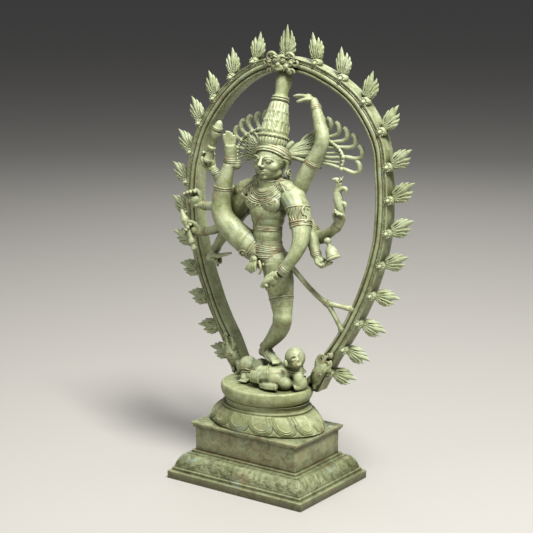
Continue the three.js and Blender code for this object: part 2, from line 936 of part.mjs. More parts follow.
// The figure: each later piece is cut back from the ones it meets.
function addFigure() {
  const torso = torsoShape();
  const torsoGap = torsoShape(gap);
  const head = cut(headShape(), torsoGap);
  addPiece("torso", torso, "figure");
  addPiece("head", head, "figure");
  addPiece("crown", cut(crownShape(), headShape(gap), archBars(gap), maskShape(gap)), "figure");
  addPiece("raised_leg", cut(raisedLegShape(), torsoGap), "figure");
  const standing = cut(
    standingLegShape(),
    torsoGap,
    raisedLegShape(gap),
    dwarfShape(gap),
    studBore(),
  );
  addPiece("standing_leg", standing, "figure");
  const fixed = [torsoGap, raisedLegShape(gap), standingLegShape(gap), crownShape(gap)];
  for (const [name, shape] of Object.entries(attributeShapes())) {
    addPiece(name, cut(shape, ...fixed), "figure");
  }
  fixed.push(...Object.values(attributeShapes(gap)));
  for (const [name, links] of Object.entries(arms)) {
    addPiece(name, cut(chain(links), ...fixed), "figure");
    fixed.push(chain(links, gap));
  }
  addPiece("hair_left", cut(hairFan(1), ...fixed), "figure");
  addPiece("hair_right", cut(hairFan(-1), ...fixed), "figure");
  addPiece("sash", cut(sashShape(), ...fixed, archBars(gap)), "figure");
}

const archBars = (grow) => join(archBar(1, grow), archBar(-1, grow));

function addPlinth() {
  addPiece("plinth_base", plinthBase(), "plinth");
  addPiece("plinth_die", plinthDie(), "plinth");
  addPiece("plinth_slab", plinthSlab(), "plinth");
  addPiece("lotus_bell", lotusBell(), "plinth");
  addPiece("lotus_disc", lotusDisc(), "plinth");
  addPiece("tie_stud", tieStud(), "steel");
  addPiece("tie_washer", tieWasher(), "steel");
  addPiece("tie_nut", tieNut(), "steel");
  addPiece("dwarf", dwarf(), "plinth");
}

function addArch() {
  for (const [side, word] of [
    [1, "left"],
    [-1, "right"],
  ]) {
    addPiece("arch_" + word, cut(archHalf(side), dwarfShape(gap)), "arch");
    const blocked = join(archBar(side, gap), footToe(side, gap), discBlank(gap), dwarfShape(gap));
    addPiece("makara_" + word, cut(makaraShape(side), blocked), "arch");
    flameSpots(side).forEach((spot, i) => {
      const droops = side > 0 && i >= flamesPerSide - lowFlames;
      const blade = flame(spot, flameLength, flameWidth, droops ? lowSweep : flameSweep);
      const name = `flame_${word}_${String(i + 1).padStart(2, "0")}`;
      addPiece(name, cut(blade, makaraShape(side, gap), maskShape(gap)), "flame");
    });
  }
  addPiece("mask", cut(maskShape(), archBars(gap)), "arch");
  addPiece("flame_crest", crestFlame(), "flame");
}

addPlinth();
addArch();
addFigure();

export default root;
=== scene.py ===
import math
import random
import bpy
from mathutils import Matrix, Vector
from mathutils.bvhtree import BVHTree


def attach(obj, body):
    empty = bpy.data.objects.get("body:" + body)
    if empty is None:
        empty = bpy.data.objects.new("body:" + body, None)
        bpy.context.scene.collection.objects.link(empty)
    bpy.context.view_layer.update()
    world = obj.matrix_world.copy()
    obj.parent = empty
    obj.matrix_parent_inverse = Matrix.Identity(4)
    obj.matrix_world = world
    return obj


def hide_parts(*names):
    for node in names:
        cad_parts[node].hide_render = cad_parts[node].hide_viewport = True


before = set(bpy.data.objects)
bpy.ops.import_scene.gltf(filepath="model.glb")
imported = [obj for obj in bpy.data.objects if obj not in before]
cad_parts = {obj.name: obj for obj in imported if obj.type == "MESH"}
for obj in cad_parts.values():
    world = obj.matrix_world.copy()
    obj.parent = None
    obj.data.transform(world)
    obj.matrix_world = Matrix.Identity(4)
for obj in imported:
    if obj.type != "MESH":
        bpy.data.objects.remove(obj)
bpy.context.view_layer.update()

mm = 0.001
print("frame loaded,", len(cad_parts), "nodes")


# small helpers for everyday steps

def deselectAll():
    if bpy.context.object and bpy.context.object.mode != "OBJECT":
        bpy.ops.object.mode_set(mode="OBJECT")
    bpy.ops.object.select_all(action="DESELECT")


def pickOnly(*objects):
    deselectAll()
    for item in objects:
        item.select_set(True)
    bpy.context.view_layer.objects.active = objects[0]


def vec(point):
    return Vector(point) * mm


def applyAll(item):
    pickOnly(item)
    for modifier in list(item.modifiers):
        bpy.ops.object.modifier_apply(modifier=modifier.name)
    bpy.ops.object.transform_apply(location=True, rotation=True, scale=True)
    return item


def joinAll(parts, name):
    pickOnly(*parts)
    if len(parts) > 1:
        bpy.ops.object.join()
    whole = bpy.context.object
    bpy.ops.object.transform_apply(location=True, rotation=True, scale=True)
    whole.name = name
    return whole


# a round rod bent through points, with a radius at each, all in millimetres
def bentRod(points, radii, sides=10, steps=6, closed=False):
    deselectAll()
    bpy.ops.curve.primitive_bezier_curve_add(location=(0, 0, 0))
    rod = bpy.context.object
    line = rod.data
    line.splines.clear()
    spline = line.splines.new("BEZIER")
    spline.bezier_points.add(len(points) - 1)
    for knot, point, radius in zip(spline.bezier_points, points, radii):
        knot.co = vec(point)
        knot.radius = radius
        knot.handle_left_type = knot.handle_right_type = "AUTO"
    spline.use_cyclic_u = closed
    spline.resolution_u = steps
    line.dimensions = "3D"
    line.bevel_depth = mm
    line.bevel_resolution = max(0, sides // 2 - 2)
    line.use_fill_caps = not closed
    bpy.ops.object.convert(target="MESH")
    return bpy.context.object


# an egg set at a point; turn is an Euler in degrees
def ball(centre, halves, turn=(0, 0, 0), rings=14):
    deselectAll()
    bpy.ops.mesh.primitive_uv_sphere_add(
        segments=rings * 2, ring_count=rings, radius=mm,
        location=vec(centre), rotation=[math.radians(t) for t in turn])
    egg = bpy.context.object
    egg.scale = halves if hasattr(halves, "__len__") else (halves,) * 3
    bpy.ops.object.transform_apply(location=True, rotation=True, scale=True)
    return egg


# the turn that lays local Z on a direction
def facing(direction):
    return Vector(direction).normalized().to_track_quat("Z", "Y")


# a flat spiral of wire; first and second are the directions it lies in
def coil(centre, first, second, reach, wire, turns=1.5, lift=(0, 0, 0)):
    steps = int(turns * 10)
    first, second, lift = Vector(first).normalized(), Vector(second).normalized(), Vector(lift)
    points, radii = [], []
    for i in range(steps + 1):
        share = i / steps
        angle = 2 * math.pi * turns * share
        away = reach * (1 - 0.82 * share)
        around = first * math.cos(angle) + second * math.sin(angle)
        points.append(tuple(Vector(centre) + around * away + lift * share))
        radii.append(wire * (1 - 0.35 * share))
    return bentRod(points, radii, 8, 3)


# a ring of round wire round an axis
def hoop(centre, axis, radius, wire, squash=(1, 1, 1), sides=8, turns=40):
    deselectAll()
    bpy.ops.mesh.primitive_torus_add(
        major_segments=turns, minor_segments=sides, major_radius=radius * mm, minor_radius=wire * mm)
    ring = bpy.context.object
    ring.scale = squash
    bpy.ops.object.transform_apply(location=False, rotation=False, scale=True)
    ring.rotation_mode = "QUATERNION"
    ring.rotation_quaternion = facing(axis)
    ring.location = vec(centre)
    bpy.ops.object.transform_apply(location=True, rotation=True, scale=True)
    return ring


# a turned shape between two points; rows are (radius, share of the way)
def turned(low, high, rows, sides=32):
    deselectAll()
    bpy.ops.mesh.primitive_circle_add(vertices=sides, radius=mm, fill_type="NOTHING")
    form = bpy.context.object
    length = (Vector(high) - Vector(low)).length
    bpy.ops.object.mode_set(mode="EDIT")
    bpy.ops.mesh.select_all(action="SELECT")
    reach, height = 1.0, 0.0
    for index, (radius, share) in enumerate(rows):
        radius = max(radius, 0.02)
        if index:
            bpy.ops.mesh.extrude_region_move(
                TRANSFORM_OT_translate={"value": (0, 0, (share - height) * length * mm)})
        else:
            bpy.ops.transform.translate(value=(0, 0, share * length * mm))
        bpy.ops.transform.resize(value=(radius / reach, radius / reach, 1),
                                 center_override=(0, 0, share * length * mm))
        reach, height = radius, share
    bpy.ops.mesh.select_all(action="SELECT")
    bpy.ops.mesh.fill_holes(sides=0)
    bpy.ops.mesh.select_all(action="SELECT")
    bpy.ops.mesh.normals_make_consistent(inside=False)
    bpy.ops.object.mode_set(mode="OBJECT")
    form.rotation_mode = "QUATERNION"
    form.rotation_quaternion = facing(Vector(high) - Vector(low))
    form.location = vec(low)
    bpy.ops.object.transform_apply(location=True, rotation=True, scale=True)
    return form


# melts overlapping parts into one skin
def fuse(parts, name, voxel, smoothing=3, factor=0.5):
    whole = joinAll(parts, name)
    remesh = whole.modifiers.new("melt", "REMESH")
    remesh.mode = "VOXEL"
    remesh.voxel_size = voxel * mm
    if smoothing:
        soften = whole.modifiers.new("soften", "SMOOTH")
        soften.factor = factor
        soften.iterations = smoothing
    return applyAll(whole)


# a grid laid out as (across, along) shares from 0 to 1 and rolled into a form by a rule
def rolled(name, across, along, rule, seam=True, caps=True):
    deselectAll()
    bpy.ops.mesh.primitive_grid_add(x_subdivisions=across, y_subdivisions=along, size=1)
    form = bpy.context.object
    form.name = name
    for vertex in form.data.vertices:
        vertex.co = vec(rule(vertex.co.x + 0.5, vertex.co.y + 0.5))
    bpy.ops.object.mode_set(mode="EDIT")
    bpy.ops.mesh.select_all(action="SELECT")
    if seam:
        bpy.ops.mesh.remove_doubles(threshold=0.01 * mm)
    if caps:
        bpy.ops.mesh.select_all(action="SELECT")
        bpy.ops.mesh.fill_holes(sides=0)
    bpy.ops.mesh.select_all(action="SELECT")
    bpy.ops.mesh.normals_make_consistent(inside=False)
    bpy.ops.object.mode_set(mode="OBJECT")
    return form


# surface finder for laying ornaments on a body
def skinOf(item):
    return BVHTree.FromObject(item, bpy.context.evaluated_depsgraph_get())


def laidOn(skin, points, lift):
    placed = []
    for point in points:
        spot, normal, _, _ = skin.find_nearest(vec(point))
        placed.append(tuple((spot / mm) + normal * lift))
    return placed


def finishPiece(item, name, coat, nodes=(), angle=40):
    item.name = name
    item.data.name = name
    pickOnly(item)
    if angle:
        bpy.ops.object.shade_smooth_by_angle(angle=math.radians(angle))
    else:
        bpy.ops.object.shade_smooth()
    item.data.materials.clear()
    item.data.materials.append(coat)
    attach(item, "root")
    if nodes:
        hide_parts(*nodes)
    return item


def copyOf(item, name):
    twin = item.copy()
    twin.data = item.data.copy()
    twin.name = name
    bpy.context.collection.objects.link(twin)
    return twin


# camera, lights and floor

studio = {
    "cameraPlace": (1.38419, -1.92463, 0.87417),
    "aim": (-0.00055, -0.0004, 0.3681),
    "lens": 99.0, "sensor": 36,
    "lamps": {
        # place, power, size, colour
        "keyLamp": ((1.45, -0.7, 3.2), 188, 0.9, (1, 1, 0.97)),
        "fillLamp": ((-0.9, -2.4, 2.3), 15, 1.6, (1, 1, 1)),
        "topLamp": ((-0.2, 0.2, 2.8), 22, 1.4, (1, 1, 1)),
        "backLamp": ((-1.3, 2.5, 2.1), 14, 1.6, (1, 1, 1)),
    },
    "floorSize": 160, "floorColour": (0.46, 0.44, 0.41, 1), "floorRoughness": 0.75,
    "skyColour": (0.93, 0.95, 1, 1), "skyStrength": 0.09,
}


def aimAt(item, target):
    item.rotation_euler = (Vector(target) - item.location).to_track_quat("-Z", "Y").to_euler()


def addLamp(name, place, power, size, colour):
    bpy.ops.object.light_add(type="AREA", location=place)
    lamp = bpy.context.object
    lamp.name = name
    lamp.data.energy = power
    lamp.data.size = size
    lamp.data.color = colour
    aimAt(lamp, studio["aim"])


def setStudio():
    deselectAll()
    bpy.ops.object.camera_add(location=studio["cameraPlace"])
    camera = bpy.context.object
    camera.data.lens = studio["lens"]
    camera.data.sensor_width = studio["sensor"]
    aimAt(camera, studio["aim"])
    bpy.context.scene.camera = camera
    for name, lamp in studio["lamps"].items():
        addLamp(name, *lamp)
    bpy.ops.mesh.primitive_plane_add(size=studio["floorSize"])
    floor = bpy.context.object
    floor.name = "studioFloor"
    paint = bpy.data.materials.new("studioFloorPaint")
    paint.use_nodes = True
    skin = paint.node_tree.nodes["Principled BSDF"]
    skin.inputs["Base Color"].default_value = studio["floorColour"]
    skin.inputs["Roughness"].default_value = studio["floorRoughness"]
    floor.data.materials.append(paint)
    world = bpy.data.worlds.new("softSky")
    world.use_nodes = True
    sky = world.node_tree.nodes["Background"]
    sky.inputs["Color"].default_value = studio["skyColour"]
    sky.inputs["Strength"].default_value = studio["skyStrength"]
    bpy.context.scene.world = world
    bpy.context.scene.view_settings.view_transform = "Standard"


setStudio()
print("studio set")


# the patina with painted shade, painted top light and painted highlights: one group, placed in each coat with its own
# values

def addSocket(tree, name, way, kind, value=None):
    socket = tree.interface.new_socket(name=name, in_out=way, socket_type=kind)
    if value is not None:
        socket.default_value = value


def makePatinaAndShadeGroup():
    tree = bpy.data.node_groups.new("castPatinaAndShade", "ShaderNodeTree")
    for name, value in (("Pale", (0.6, 0.63, 0.48, 1)), ("Sage", (0.37, 0.39, 0.23, 1)),
                        ("Olive", (0.13, 0.135, 0.055, 1)), ("Bare", (0.33, 0.18, 0.12, 1)),
                        ("Blue", (0.36, 0.47, 0.42, 1))):
        addSocket(tree, name, "INPUT", "NodeSocketColor", value)
    for name, value in (("Rub", 0.5), ("HollowsAndShade", 0.6), ("Stain", 0.4), ("Grain", 1.0)):
        addSocket(tree, name, "INPUT", "NodeSocketFloat", value)
    addSocket(tree, "Colour", "OUTPUT", "NodeSocketColor")
    for name in ("Roughness", "Metal", "Height"):
        addSocket(tree, name, "OUTPUT", "NodeSocketFloat")
    nodes, links = tree.nodes, tree.links
    entry = nodes.new("NodeGroupInput")
    out = nodes.new("NodeGroupOutput")
    place = nodes.new("ShaderNodeTexCoord").outputs["Object"]

    def noise(scale, detail, rough, distort=0.0):
        node = nodes.new("ShaderNodeTexNoise")
        node.inputs["Scale"].default_value = scale
        node.inputs["Detail"].default_value = detail
        node.inputs["Roughness"].default_value = rough
        node.inputs["Distortion"].default_value = distort
        links.new(place, node.inputs["Vector"])
        return node.outputs["Fac"]

    def span(value, low, high, toLow=0.0, toHigh=1.0):
        node = nodes.new("ShaderNodeMapRange")
        node.inputs["From Min"].default_value = low
        node.inputs["From Max"].default_value = high
        node.inputs["To Min"].default_value = toLow
        node.inputs["To Max"].default_value = toHigh
        links.new(value, node.inputs["Value"])
        return node.outputs["Result"]

    def sums(kind, first, second):
        node = nodes.new("ShaderNodeMath")
        node.operation = kind
        node.use_clamp = True
        for socket, value in zip(node.inputs, (first, second)):
            if isinstance(value, (int, float)):
                socket.default_value = value
            else:
                links.new(value, socket)
        return node.outputs["Value"]

    def blend(mask, under, over):
        node = nodes.new("ShaderNodeMix")
        node.data_type = "RGBA"
        links.new(mask, node.inputs["Factor"])
        links.new(under, node.inputs["A"])
        links.new(over, node.inputs["B"])
        return node.outputs["Result"]

    broad = noise(22, 5, 0.6, 0.4)
    patches = noise(70, 6, 0.65, 0.8)
    fine = noise(420, 5, 0.7)
    grit = noise(1500, 3, 0.6)
    streaks = noise(45, 6, 0.7, 1.6)
    cavity = nodes.new("ShaderNodeAmbientOcclusion")
    cavity.samples = 6
    cavity.inputs["Distance"].default_value = 0.011
    # wide occlusion for painted shade in deep recesses, under the arms and inside the arch
    wide = nodes.new("ShaderNodeAmbientOcclusion")
    wide.samples = 6
    wide.inputs["Distance"].default_value = 0.055
    shape = nodes.new("ShaderNodeNewGeometry")
    aspect = nodes.new("ShaderNodeSeparateXYZ")
    links.new(shape.outputs["Normal"], aspect.inputs["Vector"])
    paintedTopLight = span(aspect.outputs["Z"], -0.1, 0.9, 0.0, 0.32)  # painted top light: faces turned up are paler, as if lit from above
    # painted shade: faces turned down are darker
    paintedUnderShade = span(aspect.outputs["Z"], -0.9, 0.1, 0.35, 0.0)

    paleAndTopLight = span(sums("ADD", sums("MULTIPLY", broad, 0.5), sums("MULTIPLY", patches, 0.5)), 0.4, 0.6)
    # pale patches of the patina, plus painted top light on faces turned up
    paleAndTopLight = sums("ADD", sums("MULTIPLY", paleAndTopLight, 0.8), paintedTopLight)
    base = blend(paleAndTopLight, entry.outputs["Sage"], entry.outputs["Pale"])
    speckle = span(fine, 0.52, 0.68)
    base = blend(sums("MULTIPLY", speckle, 0.45), base, entry.outputs["Pale"])
    # pale on sharp ridges: painted highlight, partly pale rub
    ridgeRubAndHighlight = span(shape.outputs["Pointiness"], 0.505, 0.56)
    base = blend(sums("MULTIPLY", ridgeRubAndHighlight, 0.75), base, entry.outputs["Pale"])
    stainMask = sums("MULTIPLY", span(streaks, 0.46, 0.68), entry.outputs["Stain"])
    base = blend(stainMask, base, entry.outputs["Olive"])
    blueMask = sums("MULTIPLY", span(noise(38, 3, 0.5, 0.5), 0.62, 0.74), 0.45)
    base = blend(blueMask, base, entry.outputs["Blue"])
    edges = span(shape.outputs["Pointiness"], 0.53, 0.6)
    rubNoise = span(noise(60, 5, 0.65, 0.6), 0.42, 0.62)
    worn = sums("MULTIPLY", sums("MULTIPLY", edges, rubNoise), entry.outputs["Rub"])
    bloom = sums("MULTIPLY", span(noise(30, 6, 0.7, 1.0), 0.56, 0.7),
                 sums("MULTIPLY", entry.outputs["Rub"], 0.55))
    base = blend(bloom, base, entry.outputs["Bare"])
    base = blend(worn, base, entry.outputs["Bare"])
    # darker in small hollows and creases, from close occlusion and concave pits
    hollow = span(cavity.outputs["AO"], 0.34, 0.93, 1.0, 0.0)
    pits = span(shape.outputs["Pointiness"], 0.4, 0.49, 1.0, 0.0)
    # painted shade from the wide occlusion and the faces turned down
    shade = sums("ADD", span(wide.outputs["AO"], 0.3, 0.92, 0.85, 0.0), paintedUnderShade)
    close = sums("ADD", sums("MULTIPLY", hollow, 0.85), sums("MULTIPLY", pits, 0.5))
    # darkening towards Olive: the small hollows plus the painted shade
    darkHollowsAndShade = sums("MULTIPLY", sums("MAXIMUM", close, shade), entry.outputs["HollowsAndShade"])
    colour = blend(darkHollowsAndShade, base, entry.outputs["Olive"])
    links.new(colour, out.inputs["Colour"])
    rough = sums("SUBTRACT", span(fine, 0.3, 0.7, 0.42, 0.66), sums("MULTIPLY", worn, 0.14))
    links.new(rough, out.inputs["Roughness"])
    links.new(span(sums("ADD", worn, bloom), 0.0, 1.0, 0.08, 0.6), out.inputs["Metal"])
    height = sums("ADD", sums("MULTIPLY", fine, 0.45), sums("MULTIPLY", grit, 0.2))
    height = sums("ADD", height, sums("MULTIPLY", noise(190, 4, 0.6, 0.3), 0.4))
    links.new(sums("MULTIPLY", height, entry.outputs["Grain"]), out.inputs["Height"])
    return tree


patinaAndShadeGroup = makePatinaAndShadeGroup()


def makeCoat(name, values, bump=0.35, distance=0.0006):
    coat = bpy.data.materials.new(name)
    coat.use_nodes = True
    nodes, links = coat.node_tree.nodes, coat.node_tree.links
    skin = nodes["Principled BSDF"]
    group = nodes.new("ShaderNodeGroup")
    group.node_tree = patinaAndShadeGroup
    for key, value in values.items():
        group.inputs[key].default_value = value
    relief = nodes.new("ShaderNodeBump")
    relief.inputs["Strength"].default_value = bump
    relief.inputs["Distance"].default_value = distance
    links.new(group.outputs["Height"], relief.inputs["Height"])
    links.new(relief.outputs["Normal"], skin.inputs["Normal"])
    links.new(group.outputs["Colour"], skin.inputs["Base Color"])
    links.new(group.outputs["Roughness"], skin.inputs["Roughness"])
    links.new(group.outputs["Metal"], skin.inputs["Metallic"])
    return coat


figureCoat = makeCoat("figurePatinaAndShade", {
    "Pale": (0.550, 0.602, 0.378, 1), "Sage": (0.251, 0.286, 0.113, 1), "Olive": (0.07, 0.073, 0.02, 1),
    "Bare": (0.36, 0.19, 0.10, 1), "Rub": 0.74, "HollowsAndShade": 1.0, "Stain": 0.42, "Grain": 0.7})
hairCoat = makeCoat("hairPatinaAndShade", {
    "Pale": (0.570, 0.632, 0.405, 1), "Sage": (0.326, 0.378, 0.164, 1), "Olive": (0.09, 0.10, 0.03, 1),
    "Bare": (0.36, 0.22, 0.14, 1), "Rub": 0.25, "HollowsAndShade": 0.62, "Stain": 0.3, "Grain": 0.6})
archCoat = makeCoat("archPatinaAndShade", {
    "Pale": (0.470, 0.520, 0.306, 1), "Sage": (0.205, 0.233, 0.086, 1), "Olive": (0.06, 0.062, 0.018, 1),
    "Bare": (0.36, 0.19, 0.12, 1), "Rub": 0.95, "HollowsAndShade": 1.0, "Stain": 0.5, "Grain": 1.3}, 0.55)
flameCoat = makeCoat("flamePatinaAndShade", {
    "Pale": (0.570, 0.632, 0.405, 1), "Sage": (0.288, 0.335, 0.133, 1), "Olive": (0.07, 0.074, 0.02, 1),
    "Bare": (0.38, 0.21, 0.14, 1), "Rub": 0.5, "HollowsAndShade": 1.0, "Stain": 0.35, "Grain": 0.9})
# the plinth's darker olive, made darker still so its upright faces read as shaded against the painted top light
plinthCoat = makeCoat("plinthPatinaAndShade", {
    "Pale": (0.395, 0.43, 0.235, 1), "Sage": (0.07, 0.08, 0.022, 1), "Olive": (0.04, 0.04, 0.012, 1),
    "Bare": (0.36, 0.2, 0.12, 1), "Rub": 0.9, "HollowsAndShade": 0.95, "Stain": 0.7, "Grain": 1.3}, 0.5)
seatCoat = makeCoat("seatPatinaAndShade", {
    "Pale": (0.470, 0.510, 0.288, 1), "Sage": (0.223, 0.252, 0.086, 1), "Olive": (0.07, 0.072, 0.02, 1),
    "Bare": (0.38, 0.21, 0.13, 1), "Rub": 0.8, "HollowsAndShade": 1.0, "Stain": 0.45, "Grain": 1.1}, 0.5)
print("coats mixed")


# shares and edges

def smoothStep(low, high, value):
    share = min(max((value - low) / (high - low), 0), 1)
    return share * share * (3 - 2 * share)


def ridge(value, middle, width):
    return math.exp(-((value - middle) / width) ** 2)


# a lotus petal pressed into a face: u runs over the petals, v from rim (0) to top (1); millimetres out
def petalRelief(u, v, lines=3):
    across = abs((u % 1) - 0.5) * 2            # 0 at the middle of a petal, 1 between two
    tall = 1 - v
    reach = math.hypot(across, max(0.0, tall - 0.35) * 1.45) if tall > 0.35 else across
    relief = 1.5 * smoothStep(1.04, 0.62, reach)
    for step in range(lines):
        relief += 0.75 * ridge(reach, 0.97 - 0.155 * step, 0.042)
    relief -= 0.9 * ridge(reach, 1.05, 0.05)
    return relief * smoothStep(0.0, 0.06, v) * smoothStep(1.0, 0.9, v)


# plinth

plinth = {
    "dieHalf": (102.7, 64.8), "wall": 7, "baseTop": 48.2, "dieTop": 88.0, "gap": 0.3,
    "petalsLong": 11, "petalsShort": 7, "petalDepth": 0.62,
}

# profile of the base: (distance out from the die, height)
baseRows = [
    (34.2, 0), (34.5, 0.6), (34.5, 12.6), (33.8, 13.4), (29.2, 13.6), (28.7, 14.2), (28.7, 18.2),
    (28.0, 19.0), (26.2, 19.3), (25.8, 19.9), (25.8, 22.4)]
courseRows = [(25.6, 22.8), (15.2, 41.0)]
topRows = [(14.6, 41.6), (10.5, 41.9), (10.0, 42.4), (9.8, 43.6), (5.0, 44.0), (4.6, 44.6),
           (4.6, 47.6), (4.2, 48.2)]


# point on a rounded rectangle round the die: share runs round it, four sides in turn
def aroundDie(share, out):
    halfX, halfY = plinth["dieHalf"][0] + out, plinth["dieHalf"][1] + out
    side = int(share * 4) % 4
    t = share * 4 - int(share * 4)
    if side == 0:
        return (-halfX + 2 * halfX * t, -halfY)
    if side == 1:
        return (halfX, -halfY + 2 * halfY * t)
    if side == 2:
        return (halfX - 2 * halfX * t, halfY)
    return (-halfX, halfY - 2 * halfY * t)


def makePlinthBase():
    rows = [(out, z, None) for out, z in baseRows]
    steps = 34
    (lowOut, lowZ), (highOut, highZ) = courseRows
    for index in range(steps + 1):
        v = index / steps
        bulge = 1.7 * math.sin(math.pi * v)
        rows.append((lowOut + (highOut - lowOut) * v + bulge * 0.6, lowZ + (highZ - lowZ) * v + bulge * 0.5, v))
    rows += [(out, z, None) for out, z in topRows]
    rows += [(-plinth["wall"], plinth["baseTop"], None), (-plinth["wall"], 41, None), (8, 36, None),
             (18, 20.4, None), (27.5, 10.4, None), (27.5, 0, None)]  # the hollow inside
    count = len(rows)
    perSide = 130

    def rule(x, y):
        index = round(y * count) % count
        out, z, v = rows[index]
        share = x * 4
        side = int(share + 1e-9) % 4
        t = share - int(share + 1e-9)
        px, py = aroundDie((side + t) / 4, out)
        if v is not None:
            petals = plinth["petalsLong"] if side % 2 == 0 else plinth["petalsShort"]
            lift = petalRelief(t * petals, v) * plinth["petalDepth"]
            normal = [(0, -1), (1, 0), (0, 1), (-1, 0)][side]
            edge = smoothStep(0, 0.02, t) * smoothStep(1, 0.98, t)
            px += normal[0] * lift * 0.87 * edge
            py += normal[1] * lift * 0.87 * edge
            z += lift * 0.5 * edge
        return (px, py, z)

    base = rolled("plinthBase", perSide * 4, count, rule, caps=False)
    finishPiece(base, "plinthBase", plinthCoat, ["plinth_base"], 32)


def makeDie():
    bottom, top = plinth["baseTop"] + plinth["gap"], plinth["dieTop"]
    halfX, halfY = plinth["dieHalf"]
    deselectAll()
    bpy.ops.mesh.primitive_cube_add(size=1, location=(0, 0, (bottom + top) / 2 * mm))
    die = bpy.context.object
    die.scale = (2 * halfX * mm, 2 * halfY * mm, (top - bottom) * mm)
    bpy.ops.object.transform_apply(location=True, rotation=True, scale=True)
    bpy.ops.object.mode_set(mode="EDIT")
    bpy.ops.mesh.select_mode(type="FACE")
    bpy.ops.mesh.select_all(action="DESELECT")
    bpy.ops.object.mode_set(mode="OBJECT")
    for face in die.data.polygons:
        face.select = abs(face.normal.z) > 0.5
    bpy.ops.object.mode_set(mode="EDIT")
    bpy.ops.mesh.inset(thickness=plinth["wall"] * mm)
    bpy.ops.mesh.bridge_edge_loops()
    bpy.ops.mesh.select_all(action="SELECT")
    bpy.ops.mesh.normals_make_consistent(inside=False)
    bpy.ops.mesh.select_mode(type="VERT")
    bpy.ops.object.mode_set(mode="OBJECT")
    soften = die.modifiers.new("soften", "BEVEL")
    soften.width = 1.1 * mm
    soften.segments = 3
    soften.limit_method = "ANGLE"
    applyAll(die)
    finishPiece(die, "plinthDie", plinthCoat, ["plinth_die"], 30)


def makeSlab():
    rows = [(-12, 88.6), (0.8, 88.4), (2.6, 89.0), (3.0, 90.2), (2.8, 91.6), (3.4, 92.4), (4.9, 92.6),
            (5.3, 93.2), (5.3, 96.6), (4.7, 97.4), (3.2, 97.5), (-20, 97.5), (-45, 97.5), (-64.6, 97.5)]
    count = len(rows)
    perSide = 60

    def rule(x, y):
        out, z = rows[min(round(y * count), count - 1)]
        share = x * 4
        side = int(share + 1e-9) % 4
        px, py = aroundDie((side + share - int(share + 1e-9)) / 4, out)
        sway = 0.35 * math.sin(px * 0.045 + 1) + 0.3 * math.sin(py * 0.06)
        return (px, py, z + (sway if out > -10 and z > 92 else 0))

    slab = rolled("plinthSlab", perSide * 4, count, rule)
    finishPiece(slab, "plinthSlab", plinthCoat, ["plinth_slab"], 35)


makePlinthBase()
makeDie()
makeSlab()
print("plinth built")


# lotus seat

seat = {
    "neckHalf": (73, 61), "rimHalf": (107.5, 69.5), "discHalf": (82, 69), "bottom": 97.8, "petals": 14,
    "discBottom": 144.1, "seatTop": 169.1,
}
seatTop = seat["seatTop"]


# share of the way from neck to rim, and height: v is 0 at the rim and 1 at the fillet under the neck
def bellProfile(v):
    share = 1.0 - 0.79 * v ** 1.05 + 0.13 * math.sin(math.pi * v) * (1 - 0.35 * v)
    return share, 3.0 + 29.5 * (v ** 1.02)


def makeBell():
    rows = [(0.55, 0.0, None), (0.88, 0.0, None), (0.9, 1.2, None), (0.985, 1.6, None), (1.0, 2.0, None)]
    steps = 46
    for index in range(steps + 1):
        v = index / steps
        share, z = bellProfile(v)
        rows.append((share, z, v))
    neckRows = [(0.235, 33.4), (0.25, 34.2), (0.25, 35.8), (0.21, 36.6), (0.05, 37.0), (0.0, 37.6), (-0.02, 39.5),
                (-0.02, 43.0), (0.03, 44.4), (0.1, 45.2), (0.1, 46.2), (-0.6, 46.2)]
    rows += [(share, z, None) for share, z in neckRows]
    count = len(rows)
    (neckX, neckY), (rimX, rimY) = seat["neckHalf"], seat["rimHalf"]

    def rule(x, y):
        share, z, v = rows[min(round(y * count), count - 1)]
        angle = 2 * math.pi * x
        halfX = neckX + (rimX - neckX) * share
        halfY = neckY + (rimY - neckY) * share
        lift = 0.0
        if v is not None:
            lift = petalRelief(x * seat["petals"] + 0.25, v) * 1.5
        # the rim dips between petals and curls out at their middles
        swell = abs(math.sin(math.pi * (x * seat["petals"] + 0.25)))
        if z < 7 and share > 0.9:
            lift += (1.3 * swell - 0.7) * (1 - z / 7)
        return ((halfX + lift * 0.75) * math.cos(angle), (halfY + lift * 0.75) * math.sin(angle),
                seat["bottom"] + z + lift * 0.6)

    bell = rolled("lotusBell", 480, count, rule)
    finishPiece(bell, "lotusBell", seatCoat, ["lotus_bell"], 38)


def makeDisc():
    height = seatTop - seat["discBottom"]
    rows = [(0.3, 0.0), (0.62, 0.0), (0.86, 0.0), (0.89, 0.3), (0.915, 1.4), (0.94, 3.4), (0.96, 5.6),
            (0.976, 7.8), (0.988, 10), (0.996, 12.5), (1.0, 14.5), (1.0, 17), (0.998, 19), (0.995, 21),
            (0.989, 22.6), (0.979, 23.9), (0.965, 24.7), (0.95, height), (0.932, height - 0.2),
            (0.915, height - 0.9), (0.895, height - 1.4),
            (0.86, height - 1.5), (0.5, height - 0.8), (0.25, height - 0.4), (0.02, height - 0.3)]
    count = len(rows)
    halfX, halfY = seat["discHalf"]

    def rule(x, y):
        share, z = rows[min(round(y * count), count - 1)]
        angle = 2 * math.pi * x
        sway = 0.5 * math.sin(3 * angle + 1.3) * share
        return (halfX * share * math.cos(angle), halfY * share * math.sin(angle),
                seat["discBottom"] + z + (sway if 0.2 < share and z > 1 else 0) * 0.6)

    disc = rolled("lotusDisc", 160, count, rule)
    finishPiece(disc, "lotusDisc", seatCoat, ["lotus_disc"], 30)


makeBell()
makeDisc()
print("seat built")


# flaming arch

